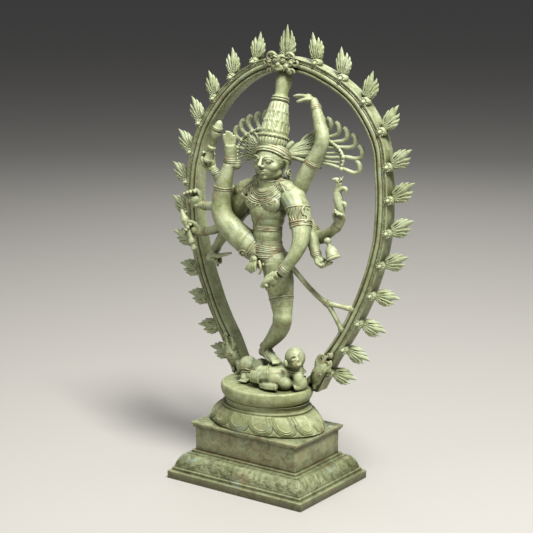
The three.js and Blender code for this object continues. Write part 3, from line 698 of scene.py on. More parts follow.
arch = {
    "halfWidth": 191.5, "height": 529, "width": 23, "topY": 58, "footY": 38,
    "flamesPerSide": 12, "footReach": 49, "crestSpacing": 57, "halfSpan": 246.2,
    "drooping": 4, "droop": 16,  # the lowest flames on the left, and their turn in degrees
    "shoulder": 0.1, "bulges": {0.68: 0.2, 0.79: 0.8, 0.905: 1.0, 0.978: 0.4},  # the left side bulges at these heights
    "outline": [(0.375, -0.02), (0.53, 0.09), (0.7, 0.19), (0.865, 0.32), (0.975, 0.46), (1, 0.575),
                (0.965, 0.68), (0.85, 0.79), (0.6, 0.905), (0.3, 0.978), (0, 1), (-0.3, 0.978)],
}


def archY(z):
    down = 1 - (z - seatTop) / arch["height"]
    return arch["topY"] - (arch["topY"] - arch["footY"]) * down * down


def catmull(points, share):
    # a smooth line through the points, share 0 at the first and 1 at the last
    spans = len(points) - 1
    index = min(int(share * spans), spans - 1)
    t = share * spans - index
    p = [Vector(points[min(max(index + k, 0), spans)]) for k in (-1, 0, 1, 2)]
    return 0.5 * (2 * p[1] + (p[2] - p[0]) * t + (2 * p[0] - 5 * p[1] + 4 * p[2] - p[3]) * t * t
                  + (3 * p[1] - p[0] - 3 * p[2] + p[3]) * t ** 3)


# the middle line of one side, foot to top, evenly spaced along its length
def archLine(side, count=400):
    bulge = arch["shoulder"] if side > 0 else 0
    outline = [(across + (bulge * arch["bulges"].get(up, 0) if across > 0 else 0), up)
               for across, up in arch["outline"]]
    flat = [catmull(outline, i / 3000 * 10 / 11) for i in range(3001)]  # the last point only guides the top
    spots = []
    for across, up in flat:
        z = seatTop + up * arch["height"]
        spots.append(Vector((side * across * arch["halfWidth"], archY(z), z)))
    lengths = [0.0]
    for first, second in zip(spots, spots[1:]):
        lengths.append(lengths[-1] + (second - first).length)
    even = []
    cursor = 0
    for i in range(count):
        wanted = lengths[-1] * i / (count - 1)
        while cursor < len(lengths) - 2 and lengths[cursor + 1] < wanted:
            cursor += 1
        gap = lengths[cursor + 1] - lengths[cursor]
        t = (wanted - lengths[cursor]) / gap if gap else 0
        even.append(spots[cursor].lerp(spots[cursor + 1], min(max(t, 0), 1)))
    return even, lengths[-1]


# section of the bar, outer edge first: (out from the middle line, forward of it)
sectionRows = [
    (11.5, -12.5), (11.5, -6), (11.2, -5), (11.2, 8.5), (11.5, 9.5), (11.5, 12.2), (11.1, 13.4), (10.2, 13.5),
    (9.6, 12.5), (8.8, 12.3), (8.0, 12.3), (7.2, 12.3), (6.4, 12.2), (5.7, 12.2), (5.1, 13.0), (4.5, 12.9),
    (4.0, 11.0), (3.4, 11.2), (2.8, 13.2), (1.4, 14.2), (-0.6, 14.5), (-2.4, 14.0), (-3.6, 12.8), (-4.2, 10.8),
    (-5.2, 10.4), (-6.0, 11.0), (-6.6, 12.6), (-7.6, 13.3), (-8.8, 13.0), (-9.6, 12.0), (-10.4, 10.8),
    (-11.3, 10.2), (-11.5, 9.0), (-11.5, -12.0), (-10.8, -13.6), (-9.0, -14.3), (9.0, -14.3), (10.8, -13.8)]
stippled = range(9, 14)  # the rows punched with small dents


def makeArchHalf(side, name, node):
    line, length = archLine(side, 360)
    count = len(sectionRows)

    def rule(x, y):
        row = round(x * count) % count
        out, front = sectionRows[row]
        if row in stippled:
            front += random.uniform(-0.75, 0.45)
        index = min(round(y * (len(line) - 1)), len(line) - 1)
        spot = line[index]
        tangent = (line[min(index + 1, len(line) - 1)] - line[max(index - 1, 0)]).normalized()
        if index == len(line) - 1:
            tangent = Vector((-side, 0, 0))
        outward = Vector((tangent.z, 0, -tangent.x)).normalized() * side
        along = y * length
        sway = 0.35 * math.sin(along * 0.05 + out) + 0.25 * math.sin(along * 0.13 + 2)
        grow = 1 + 0.12 * smoothStep(90, 0, along)
        point = spot + outward * (out * grow + sway * 0.5) + Vector((0, -1, 0)) * (front + sway * 0.3)
        point.x = side * max(side * point.x, 0.15)
        point.z = max(point.z, seatTop - 8)
        return tuple(point)

    bar = rolled(name, count, 359, rule)
    finishPiece(bar, name, archCoat, [node], 48)


random.seed(5)
makeArchHalf(1, "archLeft", "arch_left")
makeArchHalf(-1, "archRight", "arch_right")


# one flame lying in the XZ plane: X out from the bar, Z towards the top of the arch, root at the origin
flame = {
    "sweep": 27, "lean": 4, "roll": 7, "size": (0.94, 0.985), "lowSize": 0.96,
    "tongues": [
        # tip, bulge between root and tip (along the blade, across it towards the top), thickness
        ((53.0, 1.5), (31, 0.5), 5.4),
        ((43.5, -8.0), (29, -5.4), 4.2),
        ((37.0, -13.2), (24, -9.0), 4.0),
        ((29.0, -15.5), (18, -10.4), 3.8),
        ((20.5, -14.5), (13, -8.6), 3.2),
        ((43.0, 7.2), (29, 5.4), 4.0),
        ((34.5, 11.2), (22, 8.4), 3.6),
        ((24.0, 12.5), (15, 8.0), 3.2),
    ],
}


def makeFlameForm(tongues, name):
    parts = []
    for (tipX, tipZ), (midX, midZ), thick in tongues:
        hook = 1.2 if tipZ < 0 else -0.6
        nearTip = (tipX * 0.62 + midX * 0.38, 0, tipZ * 0.62 + midZ * 0.38 - hook)
        points = [(7, 0, 0.35 * midZ), (midX * 0.6, 0.2, midZ * 0.75), (midX, -0.3, midZ), nearTip,
                  (tipX, 0.4, tipZ)]
        parts.append(bentRod(points, [3.0, thick * 0.95, thick, thick * 0.6, 0.5], 8, 5))
    parts.append(ball((19, 0, -0.5), (12, 5.0, 8.5)))
    parts.append(ball((10, 0, 0), (7, 5.4, 6.5)))
    parts.append(bentRod([(-1, 0, 0), (4, 0, 0), (10, 0, 0)], [4.6, 4.2, 5.0], 10, 3))
    # curling veins laid over both faces of the leaf
    for (tipX, tipZ), (midX, midZ), thick in tongues:
        for front in (-1, 1):
            deep = 4.6 * front
            parts.append(bentRod([(11, deep * 0.9, 0.3 * midZ), (midX * 0.72, deep, midZ * 0.8),
                                  (midX * 1.02, deep * 0.8, midZ), ((tipX + midX) / 2, deep * 0.5, (tipZ + midZ) / 2)],
                                 [1.0, 1.25, 1.1, 0.7], 6, 4))
    # the scroll at the root
    for front in (-1, 1):
        scroll = []
        for i in range(15):
            angle, reach = i * 0.6, 0.9 + 0.32 * i
            scroll.append((11.5 + reach * math.cos(angle), front * (5.0 - 0.04 * i), -1 + reach * math.sin(angle)))
        parts.append(bentRod(scroll, [1.0] * 15, 6, 3))
    form = fuse(parts, name, 0.62, 1, 0.4)
    for vertex in form.data.vertices:
        vertex.co.y *= 0.9 - 0.35 * smoothStep(0.02, 0.05, vertex.co.x)
    return form


def makeBossForm():
    parts = [ball((0, 0, 0), (7.6, 11.0, 7.6))]
    for i in range(10):
        angle = 2 * math.pi * i / 10
        parts.append(ball((6.2 * math.cos(angle), -8.6, 6.2 * math.sin(angle)), 1.5, rings=6))
    parts.append(ball((0, -10.8, 0), 3.0, rings=8))
    return fuse(parts, "bossForm", 0.8, 1, 0.4)


flameForm = makeFlameForm(flame["tongues"], "flameForm")
flameForm.data.transform(Matrix.Rotation(math.radians(-flame["sweep"]), 4, "Y"))
bossForm = makeBossForm()


def setFlames(side, word):
    line, length = archLine(side, 900)
    first, last = arch["footReach"] / length, 1 - arch["crestSpacing"] / length
    for i in range(arch["flamesPerSide"]):
        share = last + (first - last) * i / (arch["flamesPerSide"] - 1)
        index = round(share * (len(line) - 1))
        spot = line[index]
        tangent = (line[index + 1] - line[index - 1]).normalized()
        outward = Vector((tangent.z, 0, -tangent.x)).normalized() * side
        surface = arch["width"] / 2
        upward = tangent - tangent.dot(outward) * outward
        turn = Matrix((outward, Vector((0, 1, 0)), upward.normalized())).transposed().to_4x4()
        # every casting leans and grows a little differently
        droop = arch["droop"] if side > 0 and i >= arch["flamesPerSide"] - arch["drooping"] else 0
        lean = Matrix.Rotation(math.radians(random.uniform(-flame["lean"], flame["lean"]) + droop), 4, "Y")
        roll = Matrix.Rotation(math.radians(random.uniform(-flame["roll"], flame["roll"])), 4, "X")
        size = random.uniform(*flame["size"]) * (flame["lowSize"] if droop else 1)
        blade = copyOf(flameForm, "blade")
        blade.data.transform(Matrix.Translation(spot * mm) @ turn @ Matrix.Translation(
            Vector((surface - 0.5, 0, 0)) * mm) @ lean @ roll @ Matrix.Diagonal((size, 1.1, size * 1.06, 1)))
        # none reaches wider than the rest of the arch
        root, limit = abs(spot.x) * mm, arch["halfSpan"] * mm
        tip = max(abs(vertex.co.x) for vertex in blade.data.vertices)
        for vertex in blade.data.vertices:
            if tip > limit and abs(vertex.co.x) > root:
                vertex.co.x = side * (root + (abs(vertex.co.x) - root) * (limit - root) / (tip - root))
        boss = copyOf(bossForm, "boss")
        boss.data.transform(Matrix.Translation(spot * mm) @ turn @ Matrix.Translation(
            Vector((surface + 1.6, -3.6, -1.5)) * mm))
        whole = joinAll([blade, boss], "flame")
        number = f"{i + 1:02d}"
        if turn.determinant() < 0:
            bpy.ops.object.mode_set(mode="EDIT")
            bpy.ops.mesh.select_all(action="SELECT")
            bpy.ops.mesh.flip_normals()
            bpy.ops.object.mode_set(mode="OBJECT")
        finishPiece(whole, f"flame{word.capitalize()}{number}", flameCoat, [f"flame_{word}_{number}"],
                    0)


random.seed(7)
setFlames(1, "left")
setFlames(-1, "right")
print("arch and flames built")


# wires laid on the skin of a body

def castOn(skin, starts, targets, lift):
    placed = []
    for start, target in zip(starts, targets):
        origin = vec(start)
        spot, normal, _, _ = skin.ray_cast(origin, (vec(target) - origin).normalized())
        if spot is not None:
            placed.append(tuple(spot / mm + normal * lift))
    return placed


# a closed wire hugging a limb; shift slides it along the axis
def wrap(skin, centre, axis, reach, wire, shift=0.0, lift=0.1, points=20, sides=6):
    turn = facing(axis)
    middle = Vector(centre) + turn @ Vector((0, 0, shift))
    starts = [tuple(middle + turn @ Vector((math.cos(a), math.sin(a), 0)) * reach)
              for a in (2 * math.pi * i / points for i in range(points))]
    laid = castOn(skin, starts, [tuple(middle)] * points, lift)
    return bentRod(laid, [wire] * len(laid), sides, 3, closed=True)


def wraps(skin, centre, axis, reach, rows):
    return [wrap(skin, centre, axis, reach, wire, shift) for shift, wire in rows]


# a wire laid on the front of a body, given as (x, z) points
def frontLine(skin, spots, wire, lift=0.1, fromY=-90, toY=40, sides=6, taper=False):
    laid = castOn(skin, [(x, fromY, z) for x, z in spots], [(x, toY, z) for x, z in spots], lift)
    radii = [wire] * len(laid)
    if taper and len(laid) > 2:
        radii[0] = radii[-1] = wire * 0.4
    return bentRod(laid, radii, sides, 3)


# fingers from knuckle to tip; forward is where the hand points and palm where its inside faces
def handParts(wrist, forward, palm, size=1.12, curls=(14, 18, 22, 26), thumbSide=1, thumbLift=4.0,
              palmLength=14, fingerLength=16, spread=1.0):
    ahead = Vector(forward).normalized()
    inside = (Vector(palm) - ahead * Vector(palm).dot(ahead)).normalized()
    across = ahead.cross(inside)
    start = Vector(wrist)

    def at(front, side, deep):
        return tuple(start + (ahead * front + across * side + inside * deep) * size)

    parts = [ball(at(palmLength * 0.6, 0, 0), 7.0 * size, rings=8)]
    for number, curl in enumerate(curls):
        side = (number - 1.5) * 3.8 * spread
        points = [at(0, side * 0.45, 0), at(palmLength, side, 0)]
        front, deep, bend = palmLength, 0.0, 0.0
        length = fingerLength * (0.9, 1.0, 0.97, 0.8)[number]
        for share in (0.42, 0.32, 0.26):
            bend += math.radians(curl)
            front += math.cos(bend) * length * share
            deep += math.sin(bend) * length * share
            points.append(at(front, side * (1 + 0.06 * spread), deep))
        parts.append(bentRod(points, [4.4 * size, 3.4 * size, 2.6 * size, 2.3 * size, 1.6 * size], 8, 3))
    parts.append(bentRod([at(2, 3.5 * thumbSide, 0.5), at(8, 8.2 * thumbSide, thumbLift * 0.5),
                          at(14, 9.4 * thumbSide, thumbLift), at(18.5, 8.4 * thumbSide, thumbLift * 1.2)],
                         [3.8 * size, 3.2 * size, 2.7 * size, 1.8 * size], 8, 3))
    return parts


def finishFigure(parts, name, node, angle=60):
    finishPiece(joinAll(parts, name), name, figureCoat, [node], angle=angle)


# body

body = {
    "chestWidth": 41, "waistWidth": 25, "hipWidth": 33, "voxel": 0.85,
    "necklaces": 7, "drops": 11, "waistFolds": 7, "girdleBeads": 9,
}


def makeTorso():
    parts = [
        ball((0, 7, 481), (body["chestWidth"], 26, 29)), ball((0, 3, 462), (34, 25, 24)),
        ball((-17, -12, 476), (18, 9.5, 14)), ball((17, -12, 476), (18, 9.5, 14)),
        ball((0, 2, 434), (body["waistWidth"] + 1, 20, 26)), ball((0, 2, 408), (body["waistWidth"] + 2, 20, 20)),
        ball((0, 3, 449), (30, 22, 24)), ball((0, 2, 422), (body["waistWidth"] + 1.5, 20.4, 26)),
        ball((0, 2, 398), (29.5, 21.5, 20)), ball((1, 4, 388), (body["hipWidth"], 24, 17)),
        ball((2, 4, 374), (31, 23, 14)),
        bentRod([(0, 10, 492), (0, 7, 514), (0, 5, 530)], [22, 19, 17], 12, 4),
    ]
    for side in (-1, 1):
        parts.append(bentRod([(side * 6, 10, 508), (side * 28, 10, 502), (side * 51, 6, 491)], [14, 14, 16], 10, 4))
        parts.append(bentRod([(side * 44, 8, 486), (side * 58, 7, 470), (side * 68, 8, 448)], [18, 17.5, 14.5], 12, 4))
        parts.append(ball((side * 11, 20, 470), (16, 10, 26)))
        parts.append(ball((side * 53, 6, 489), (16.5, 15.5, 15.5)))
        parts.append(ball((side * 68, 8, 447), (14.5, 14.5, 14.5)))
    torso = fuse(parts, "torso", body["voxel"], 5, 0.5)
    skin = skinOf(torso)
    extras = []
    # necklaces, each a little wider than the last, the fourth with drops
    for number in range(body["necklaces"]):
        reach = 16 + 3.4 * number
        spots = [(reach * 1.12 * math.sin(math.radians(a)), 510 - reach * 0.95 * math.cos(math.radians(a)))
                 for a in range(-84, 85, 12)]
        extras.append(frontLine(skin, spots, 0.95 if number % 2 else 1.25, 0.15))
    for number in range(body["drops"]):
        angle = math.radians(-60 + 12 * number)
        x, z = 34.5 * 1.12 * math.sin(angle), 504 - 34.5 * 0.92 * math.cos(angle)
        spot = castOn(skin, [(x, -90, z)], [(x, 40, z)], 0.3)
        if spot:
            extras.append(ball(spot[0], (1.5, 1.3, 2.2), rings=6))
    extras += wraps(skin, (0, 6.5, 517), (0, -0.2, 1), 40, [(-2.4, 1.3), (0.4, 1.1), (3.2, 1.3)])
    # sacred thread over the left shoulder, and the second string with its knot
    strings = [([(27, 497), (19, 484), (10, 470), (2, 458), (-8, 446), (-17, 434), (-23, 424)], 1.2),
               ([(24, 494), (16, 481), (7, 467), (-1, 455), (-11, 443), (-20, 431)], 0.8),
               ([(-3, 458), (2, 448), (3, 438), (1, 428), (2, 418), (4, 408)], 0.9),
               ([(-1, 456), (-10, 448), (-18, 440)], 0.8)]
    extras += [frontLine(skin, spots, wire) for spots, wire in strings]
    # band under the breast
    extras += wraps(skin, (0, 3, 433), (0, 0.1, 1), 60, [(-2.2, 1.0), (0, 0.7), (2.2, 1.0)])
    extras += wraps(skin, (0, 4, 412), (0.05, 0.1, 1), 60, [(0, 0.6)])
    # folds of the waist cloth, then the girdle
    for number in range(body["waistFolds"]):
        extras.append(wrap(skin, (1, 4, 403 - 3.3 * number), (0.10 - 0.03 * number, 0.16, 1), 60,
                           1.35 + 0.25 * (number % 2), 0, 0.1, 26))
    extras += wraps(skin, (1, 4, 377), (-0.10, 0.12, 1), 60, [(-1.8, 1.3), (0.6, 1.6), (3.0, 1.2)])
    for number in range(body["girdleBeads"]):
        angle = math.radians(-64 + 16 * number)
        spot = castOn(skin, [(70 * math.sin(angle), 4 - 70 * math.cos(angle), 375)], [(0, 4, 375)], 1.0)
        if spot:
            extras.append(ball(spot[0], (2.6, 2.6, 3.0), rings=6))
    # knot and hanging tails of the cloth
    extras.append(ball((-9, -24, 384), (6.5, 4.5, 5.5), (0, 20, 0)))
    extras.append(hoop((-9, -26.5, 384), (0.2, -1, 0.1), 4.4, 1.0))
    pleats = []
    for k in (-2, -1, 0, 1, 2):
        low = (-13 + 5.2 * k, -27 - 0.5 * abs(k), 360 + 2.6 * abs(k))
        pleats.append(bentRod([(-9 + 1.6 * k, -22, 383), (-11 + 3.2 * k, -27, 373), low],
                              [2.8, 3.2, 2.8 - 0.3 * abs(k)], 8, 4))
    extras.append(fuse(pleats, "clothTail", 0.8, 1))
    extras.append(bentRod([(0, -22, 381), (5, -25, 374), (6, -26, 366), (3, -26.5, 360)], [2.6, 2.6, 2.2, 1.5], 8, 4))
    for side in (-1, 1):
        # tassels of hair and thread on the shoulders
        extras.append(bentRod(laidOn(skin, [(side * 20, 4, 512), (side * 31, 0, 506), (side * 41, -4, 498),
                                            (side * 47, -8, 488)], 0.3), [1.4, 1.5, 1.4, 0.8], 6, 4))
    finishFigure([torso] + extras, "torso", "torso")


head = {
    "move": (3.5, 7.5, 539.5), "turn": 1, "scale": (1.17, 1.1, 1.02, 1),
    "voxel": 0.62, "eyeHeight": 547.2, "diademTilt": 42, "diademBeads": 9,
}


def makeHead():
    parts = [
        ball((0, 9, 549), (23.5, 25, 25)), ball((0, -1, 541), (19, 20, 22)), ball((0, -4, 531), (17.5, 16, 14)),
        ball((0, -12.6, 521), (7, 6, 5.4), rings=10), ball((0, 2, 526), (18.5, 18, 13)),
        bentRod([(0, -19.5, 554), (0, -23, 547), (0, -26.8, 539.5)], [2.0, 2.3, 3.1], 10, 4),
        ball((-3.4, -22.6, 538.6), (2.5, 2.8, 2.3), rings=8), ball((3.4, -22.6, 538.6), (2.5, 2.8, 2.3), rings=8),
        bentRod([(-6.4, -17.2, 530.6), (-2.4, -20.8, 531.9), (0, -21.4, 531.2), (2.4, -20.8, 531.9),
                 (6.4, -17.2, 530.6)], [0.9, 1.6, 1.5, 1.6, 0.9], 8, 4),
        bentRod([(-5.2, -17.4, 529), (0, -20.6, 527.4), (5.2, -17.4, 529)], [1.2, 2.1, 1.2], 8, 4),
    ]
    for side in (-1, 1):
        parts.append(ball((side * 10.5, -9, 537), (9, 9, 9.5)))
        parts.append(ball((side * 8.8, -16.4, head["eyeHeight"]), (5.2, 3.8, 3.2), (0, side * 6, 0)))
        parts.append(bentRod([(side * 3, -20.6, 551.6), (side * 8.5, -20.4, 554.6), (side * 14, -17.2, 553.6),
                              (side * 18, -12.6, 550)], [1.0, 1.35, 1.2, 0.6], 8, 4))
        parts.append(bentRod([(side * 21, 2, 549), (side * 24, 6, 546), (side * 24.4, 8, 538), (side * 23.6, 7, 528)],
                             [3.2, 3.6, 3.0, 2.6], 8, 4))
    face = fuse(parts, "head", head["voxel"], 2, 0.45)
    skin = skinOf(face)
    extras = []
    for side in (-1, 1):
        # lids: a fine upper and lower rim closing on a calm, lowered eye
        for rise, wire in ((1.9, 0.55), (-1.3, 0.42)):
            spots = [(side * (3.9 + 1.25 * k), head["eyeHeight"] + rise * math.sin(math.pi * k / 8) + 0.5 * k / 8)
                     for k in range(9)]
            extras.append(frontLine(skin, spots, wire, 0.05, sides=6, taper=True))
        # earring: a spiral inside a ring
        spiral = []
        for i in range(15):
            angle, reach = i * 0.62, 5.6 - 0.36 * i
            spiral.append((side * (25.6 + 0.16 * i), 9.5 + reach * math.cos(angle) * 0.9,
                           525.2 + reach * math.sin(angle)))
        extras.append(bentRod(spiral, [1.5] * 15, 6, 3))
        extras.append(hoop((side * 25.4, 9.5, 525.2), (side, -0.25, 0), 6.4, 1.3))
        extras.append(bentRod([(side * 24, 12, 521), (side * 27, 14, 513), (side * 29, 14, 505)],
                              [2.4, 2.2, 1.2], 8, 4))
    # diadem: a padded band between two rims, dipping to the ears
    lean = math.radians(head["diademTilt"])
    tilt = (0, math.sin(lean), math.cos(lean))
    for shift, wire in ((-2.6, 1.7), (1.2, 2.9), (5.4, 2.9), (9.2, 2.0), (12, 1.4)):
        extras.append(wrap(skin, (0, 7, 551), tilt, 60, wire, shift, 1.4, 26, 8))
    turn = facing(tilt)
    for i in range(head["diademBeads"]):
        angle = math.radians(-64 + 16 * i)
        start = Vector((0, 7, 552)) + turn @ (Vector((math.sin(angle), -math.cos(angle), 0)) * 60)
        spot = castOn(skin, [tuple(start)], [(0, 7, 552)], 2.4)
        if spot:
            extras.append(ball(spot[0], 1.7, rings=6))
    whole = joinAll([face] + extras, "head")
    whole.data.transform(
        Matrix.Translation(vec(head["move"])) @ Matrix.Rotation(math.radians(head["turn"]), 4, "Z")
        @ Matrix.Diagonal(head["scale"]) @ Matrix.Translation(vec((0, -5, -540))))
    finishPiece(whole, "head", figureCoat, ["head"], angle=60)


crown = {
    "low": (0, 11, 560), "high": (0, 54, 689.6),
    "locks": 14, "wear": 0.35, "rimBeads": 22,
}


def makeCrown():
    low, high = Vector(crown["low"]), Vector(crown["high"])
    axis = high - low
    turn = facing(axis)
    rows = [(17, 0), (20, 0.012), (21.5, 0.03), (22.5, 0.05), (23, 0.06), (24.2, 0.075), (24.8, 0.11),
            (24.2, 0.13), (23.4, 0.14), (25.0, 0.15), (25.2, 0.17), (23.6, 0.185)]
    steps = 40
    for index in range(steps + 1):
        share = index / steps
        rows.append((23.2 - 8.6 * share ** 1.25, 0.19 + 0.375 * share))
    rows += [(14.6, 0.575), (13.0, 0.588), (12.2, 0.592), (14.6, 0.602), (15.4, 0.612), (14.6, 0.622),
             (13.2, 0.628), (14.4, 0.636), (14.8, 0.645), (14.0, 0.655), (11.8, 0.662), (10.8, 0.68),
             (10.9, 0.71), (11.6, 0.75), (12.8, 0.80), (13.4, 0.845), (13.1, 0.885), (12.2, 0.915),
             (11.2, 0.94), (11.4, 0.97), (11.5, 1.0)]
    count = len(rows)

    def rule(x, y):
        radius, share = rows[min(round(y * (count - 1)), count - 1)]
        angle = 2 * math.pi * x
        if 0.19 < share < 0.566:
            up = (share - 0.19) / 0.376
            wobble = crown["wear"] * math.sin(9 * up + 3 * math.sin(angle))
            lock = abs(math.sin(crown["locks"] / 2 * angle + wobble))
            radius += 1.5 * lock ** 0.6 - 0.9
            radius += 0.5 * abs(math.sin(14 * angle + 22 * up)) - 0.2
            # three rows of small ornaments
            for row in (0.1, 0.42, 0.74):
                radius += 1.5 * ridge(up, row, 0.045) * (0.55 + 0.45 * math.cos(14 * angle))
            radius += 2.2 * ridge(up, 0.25, 0.13) * ridge((x - 0.02) % 1, 0.75, 0.035)
        if 0.06 < share < 0.135:
            radius += 0.7 * math.cos(26 * angle)
        point = low + turn @ Vector((radius * math.cos(angle), radius * math.sin(angle), axis.length * share))
        return tuple(point)

    cone = rolled("crown", 168, count, rule)
    beads = []
    for i in range(crown["rimBeads"]):
        angle = 2 * math.pi * i / crown["rimBeads"]
        spot = low + turn @ Vector((26 * math.cos(angle), 26 * math.sin(angle), axis.length * 0.160))
        beads.append(ball(tuple(spot), 1.4, rings=5))
    # crescent and skull set in the locks
    front = low + turn @ Vector((0, -21.5, axis.length * 0.28))
    beads.append(ball(tuple(front), (3.6, 2.6, 4.2), rings=8))
    for side in (-1, 1):
        arcs = [tuple(low + turn @ Vector((22.3 * math.sin(side * a), -22.3 * math.cos(a), axis.length * h)))
                for a, h in ((0.75, 0.34), (0.95, 0.30), (0.95, 0.25), (0.75, 0.22), (0.55, 0.235))]
        beads.append(bentRod(arcs, [0.8, 1.8, 2.2, 1.8, 0.8], 8, 4))
    finishFigure([cone] + beads, "crown", "crown")


# flying locks on each side: a net of fine hair, thick strands, a beaded garland and curled ends
hair = {
    "wire": 4.4, "netLines": 17, "netReach": 64,
    "leftTips": [(139, 56, 548), (142, 58, 572), (128, 60, 590), (112, 60, 599), (96, 60, 607),
                 (80, 60, 613), (66, 60, 616)],
    "rightTips": [(-122, 66, 546), (-121, 68, 570), (-112, 70, 586), (-100, 70, 598), (-85, 70, 606),
                  (-68, 70, 612), (-51, 70, 616)],
}


def makeHair(side, name, node):
    tips = hair["leftTips"] if side > 0 else hair["rightTips"]
    root = Vector((side * 16, 24, 553))
    parts, net, garland = [], [], []
    for number, tip in enumerate(tips):
        end = Vector(tip)
        way = Vector((end.x - root.x, 0, end.z - 14 - root.z)).normalized()
        low = end + Vector((side * 0.5, 0, -17.5))
        knot = root.lerp(low, 0.80)
        wave = Vector((-way.z * side, 0, way.x * side)) * (3.2 if number % 2 else -3.2)
        near, mid = root.lerp(low, 0.36), root.lerp(low, 0.6)
        near.z = min(near.z, root.z + 3 + 2.2 * number)
        mid.z = min(mid.z, root.z + 8 + 6.5 * number)
        points = [root.lerp(near, 0.3), near + wave * 0.7, mid - wave * 0.6, knot,
                  low + Vector((side * 1.5, 0, 0.5)), end + Vector((side * 4.6, 0, -10)),
                  end + Vector((side * 2.2, 0, -2.5)), end + Vector((-side * 2.5, 0, 0.5))]
        parts.append(bentRod([tuple(point) for point in points],
                             [3.6, 2.9, 2.7, 3.1, 3.7, hair["wire"], 4.2, 3.4], 10, 5))
        garland.append(tuple(knot + Vector((0, -4.0, 0))))
    # thinner strands between the main ones, as far as the garland
    for first, second in zip(garland, garland[1:]):
        far = Vector(first).lerp(Vector(second), 0.5) + Vector((0, 4, 0))
        near = root.lerp(far, 0.42) + Vector((0, 0, 2.5))
        near.z = min(near.z, root.z + 22)
        points = [root.lerp(near, 0.35), near, near.lerp(far, 0.55) + Vector((0, 0, -2)), far]
        parts.append(bentRod([tuple(point) for point in points], [2.6, 2.2, 2.0, 2.2], 8, 4))
    # fine net between the head and the strands
    for number in range(hair["netLines"]):
        share = number / (hair["netLines"] - 1)
        angle = math.radians(-20 + 46 * share)
        reach = hair["netReach"] - 4 * share
        points = [tuple(root + Vector((0, -3, 2 - 4 * (1 - share))))]
        for step in range(1, 8):
            far = reach * step / 7
            wave = 0.9 * (1 if (step + number) % 2 else -1)
            points.append((root.x + side * (far * math.cos(angle) - wave * math.sin(angle)),
                           22 + far * 0.38, root.z + far * math.sin(angle) + wave * math.cos(angle)))
        net.append(bentRod(points, [1.7] + [1.45] * 6 + [0.8], 6, 2))
    for reach in (22, 34, 46, 57):
        arc = [(root.x + side * reach * math.cos(math.radians(-20 + 6.5 * k)), 22.6 + reach * 0.38,
                root.z + reach * math.sin(math.radians(-20 + 6.5 * k))) for k in range(8)]
        net.append(bentRod(arc, [1.1] * 8, 6, 3))
    # hair close to the nape fills the root of the fan
    parts.append(bentRod([(side * 10, 22, 545), (side * 24, 27, 548), (side * 38, 32, 552)], [10, 7.5, 3], 10, 4))
    parts.append(bentRod([(side * 9, 24, 558), (side * 20, 28, 565), (side * 30, 32, 574)], [9, 7, 3], 10, 4))
    cord = bentRod(garland, [2.0] * len(garland), 8, 4)
    beads = []
    for first, second in zip(garland, garland[1:]):
        for step in (0.0, 0.34, 0.67):
            mark = Vector(first).lerp(Vector(second), step)
            beads.append(ball(tuple(mark), 4.0 if step == 0.0 else 2.9, rings=6))
    whole = joinAll(parts + net + [cord] + beads, name)
    finishPiece(whole, name, hairCoat, [node], angle=60)


makeTorso()
makeHead()
makeCrown()
makeHair(1, "hairLeft", "hair_left")
makeHair(-1, "hairRight", "hair_right")
print("torso, head and hair built")


# legs

leg = {
    "voxel": 0.85, "toeGapRaised": 4.1, "toeGapStanding": 3.8,
    "toeHeights": (586, 591, 590.5, 588, 584),
}


def makeRaisedLeg():
    parts = [
        bentRod([(-6, 2, 384), (-30, -5, 402), (-56, -16, 425), (-74, -22, 449), (-77, -22, 468), (-74, -22, 490),
                 (-70, -22, 508), (-65, -21, 524), (-62, -20, 536)],
                [20, 22, 20.5, 18, 16.5, 15.5, 13.5, 11, 9.8], 28, 8),
        bentRod([(-60, -17, 533), (-60, -18, 545), (-60, -19, 558), (-60, -20, 568)], [10.4, 10.2, 10.6, 9.4], 24, 7),
        ball((-54, -12, 535), (9.5, 9, 8.5)), ball((-68, -20, 540), (4.5, 4.5, 4.5), rings=8),
    ]
    for number in range(5):
        side = (number - 2) * leg["toeGapRaised"]
        x, y = -60 + side * 0.81, -20 + side * 0.58
        rise = leg["toeHeights"][number]
        parts.append(bentRod([(x * 0.5 - 30, y * 0.5 - 10, 564), (x, y - 1, 576), (x - 0.5, y - 2, rise)],
                             [4.6, 2.7 if number else 3.4, 2.2 if number else 2.8], 10, 3))
    limb = fuse(parts, "raisedLeg", leg["voxel"], 3, 0.5)
    skin = skinOf(limb)
    extras = []
    # anklets, garter under the knee, cuff of the cloth on the thigh
    extras += wraps(skin, (-61.5, -18.5, 543), (0.05, 0.1, 1), 40, [(-3.4, 1.3), (-0.6, 1.7), (2.4, 1.3)])
    extras += wraps(skin, (-72, -22, 497), (0.14, 0, 1), 40, [(-2.4, 1.0), (1.2, 1.4)])
    extras += wraps(skin, (-26, -4, 399), (-0.75, -0.3, 0.55), 45, [(-4, 1.1), (0, 1.4), (4, 1.0)])
    extras.append(wrap(skin, (-40, -9, 409), (-0.8, -0.3, 0.6), 45, 0.7))
    extras.append(hoop((-31, -24.5, 391), (0.1, -1, -0.35), 5.5, 1.3, (1.3, 1, 1)))
    extras.append(ball((-31, -24, 391), (4.5, 2.2, 3.2), (15, 0, 0), 8))
    finishFigure([limb] + extras, "raisedLeg", "raised_leg")


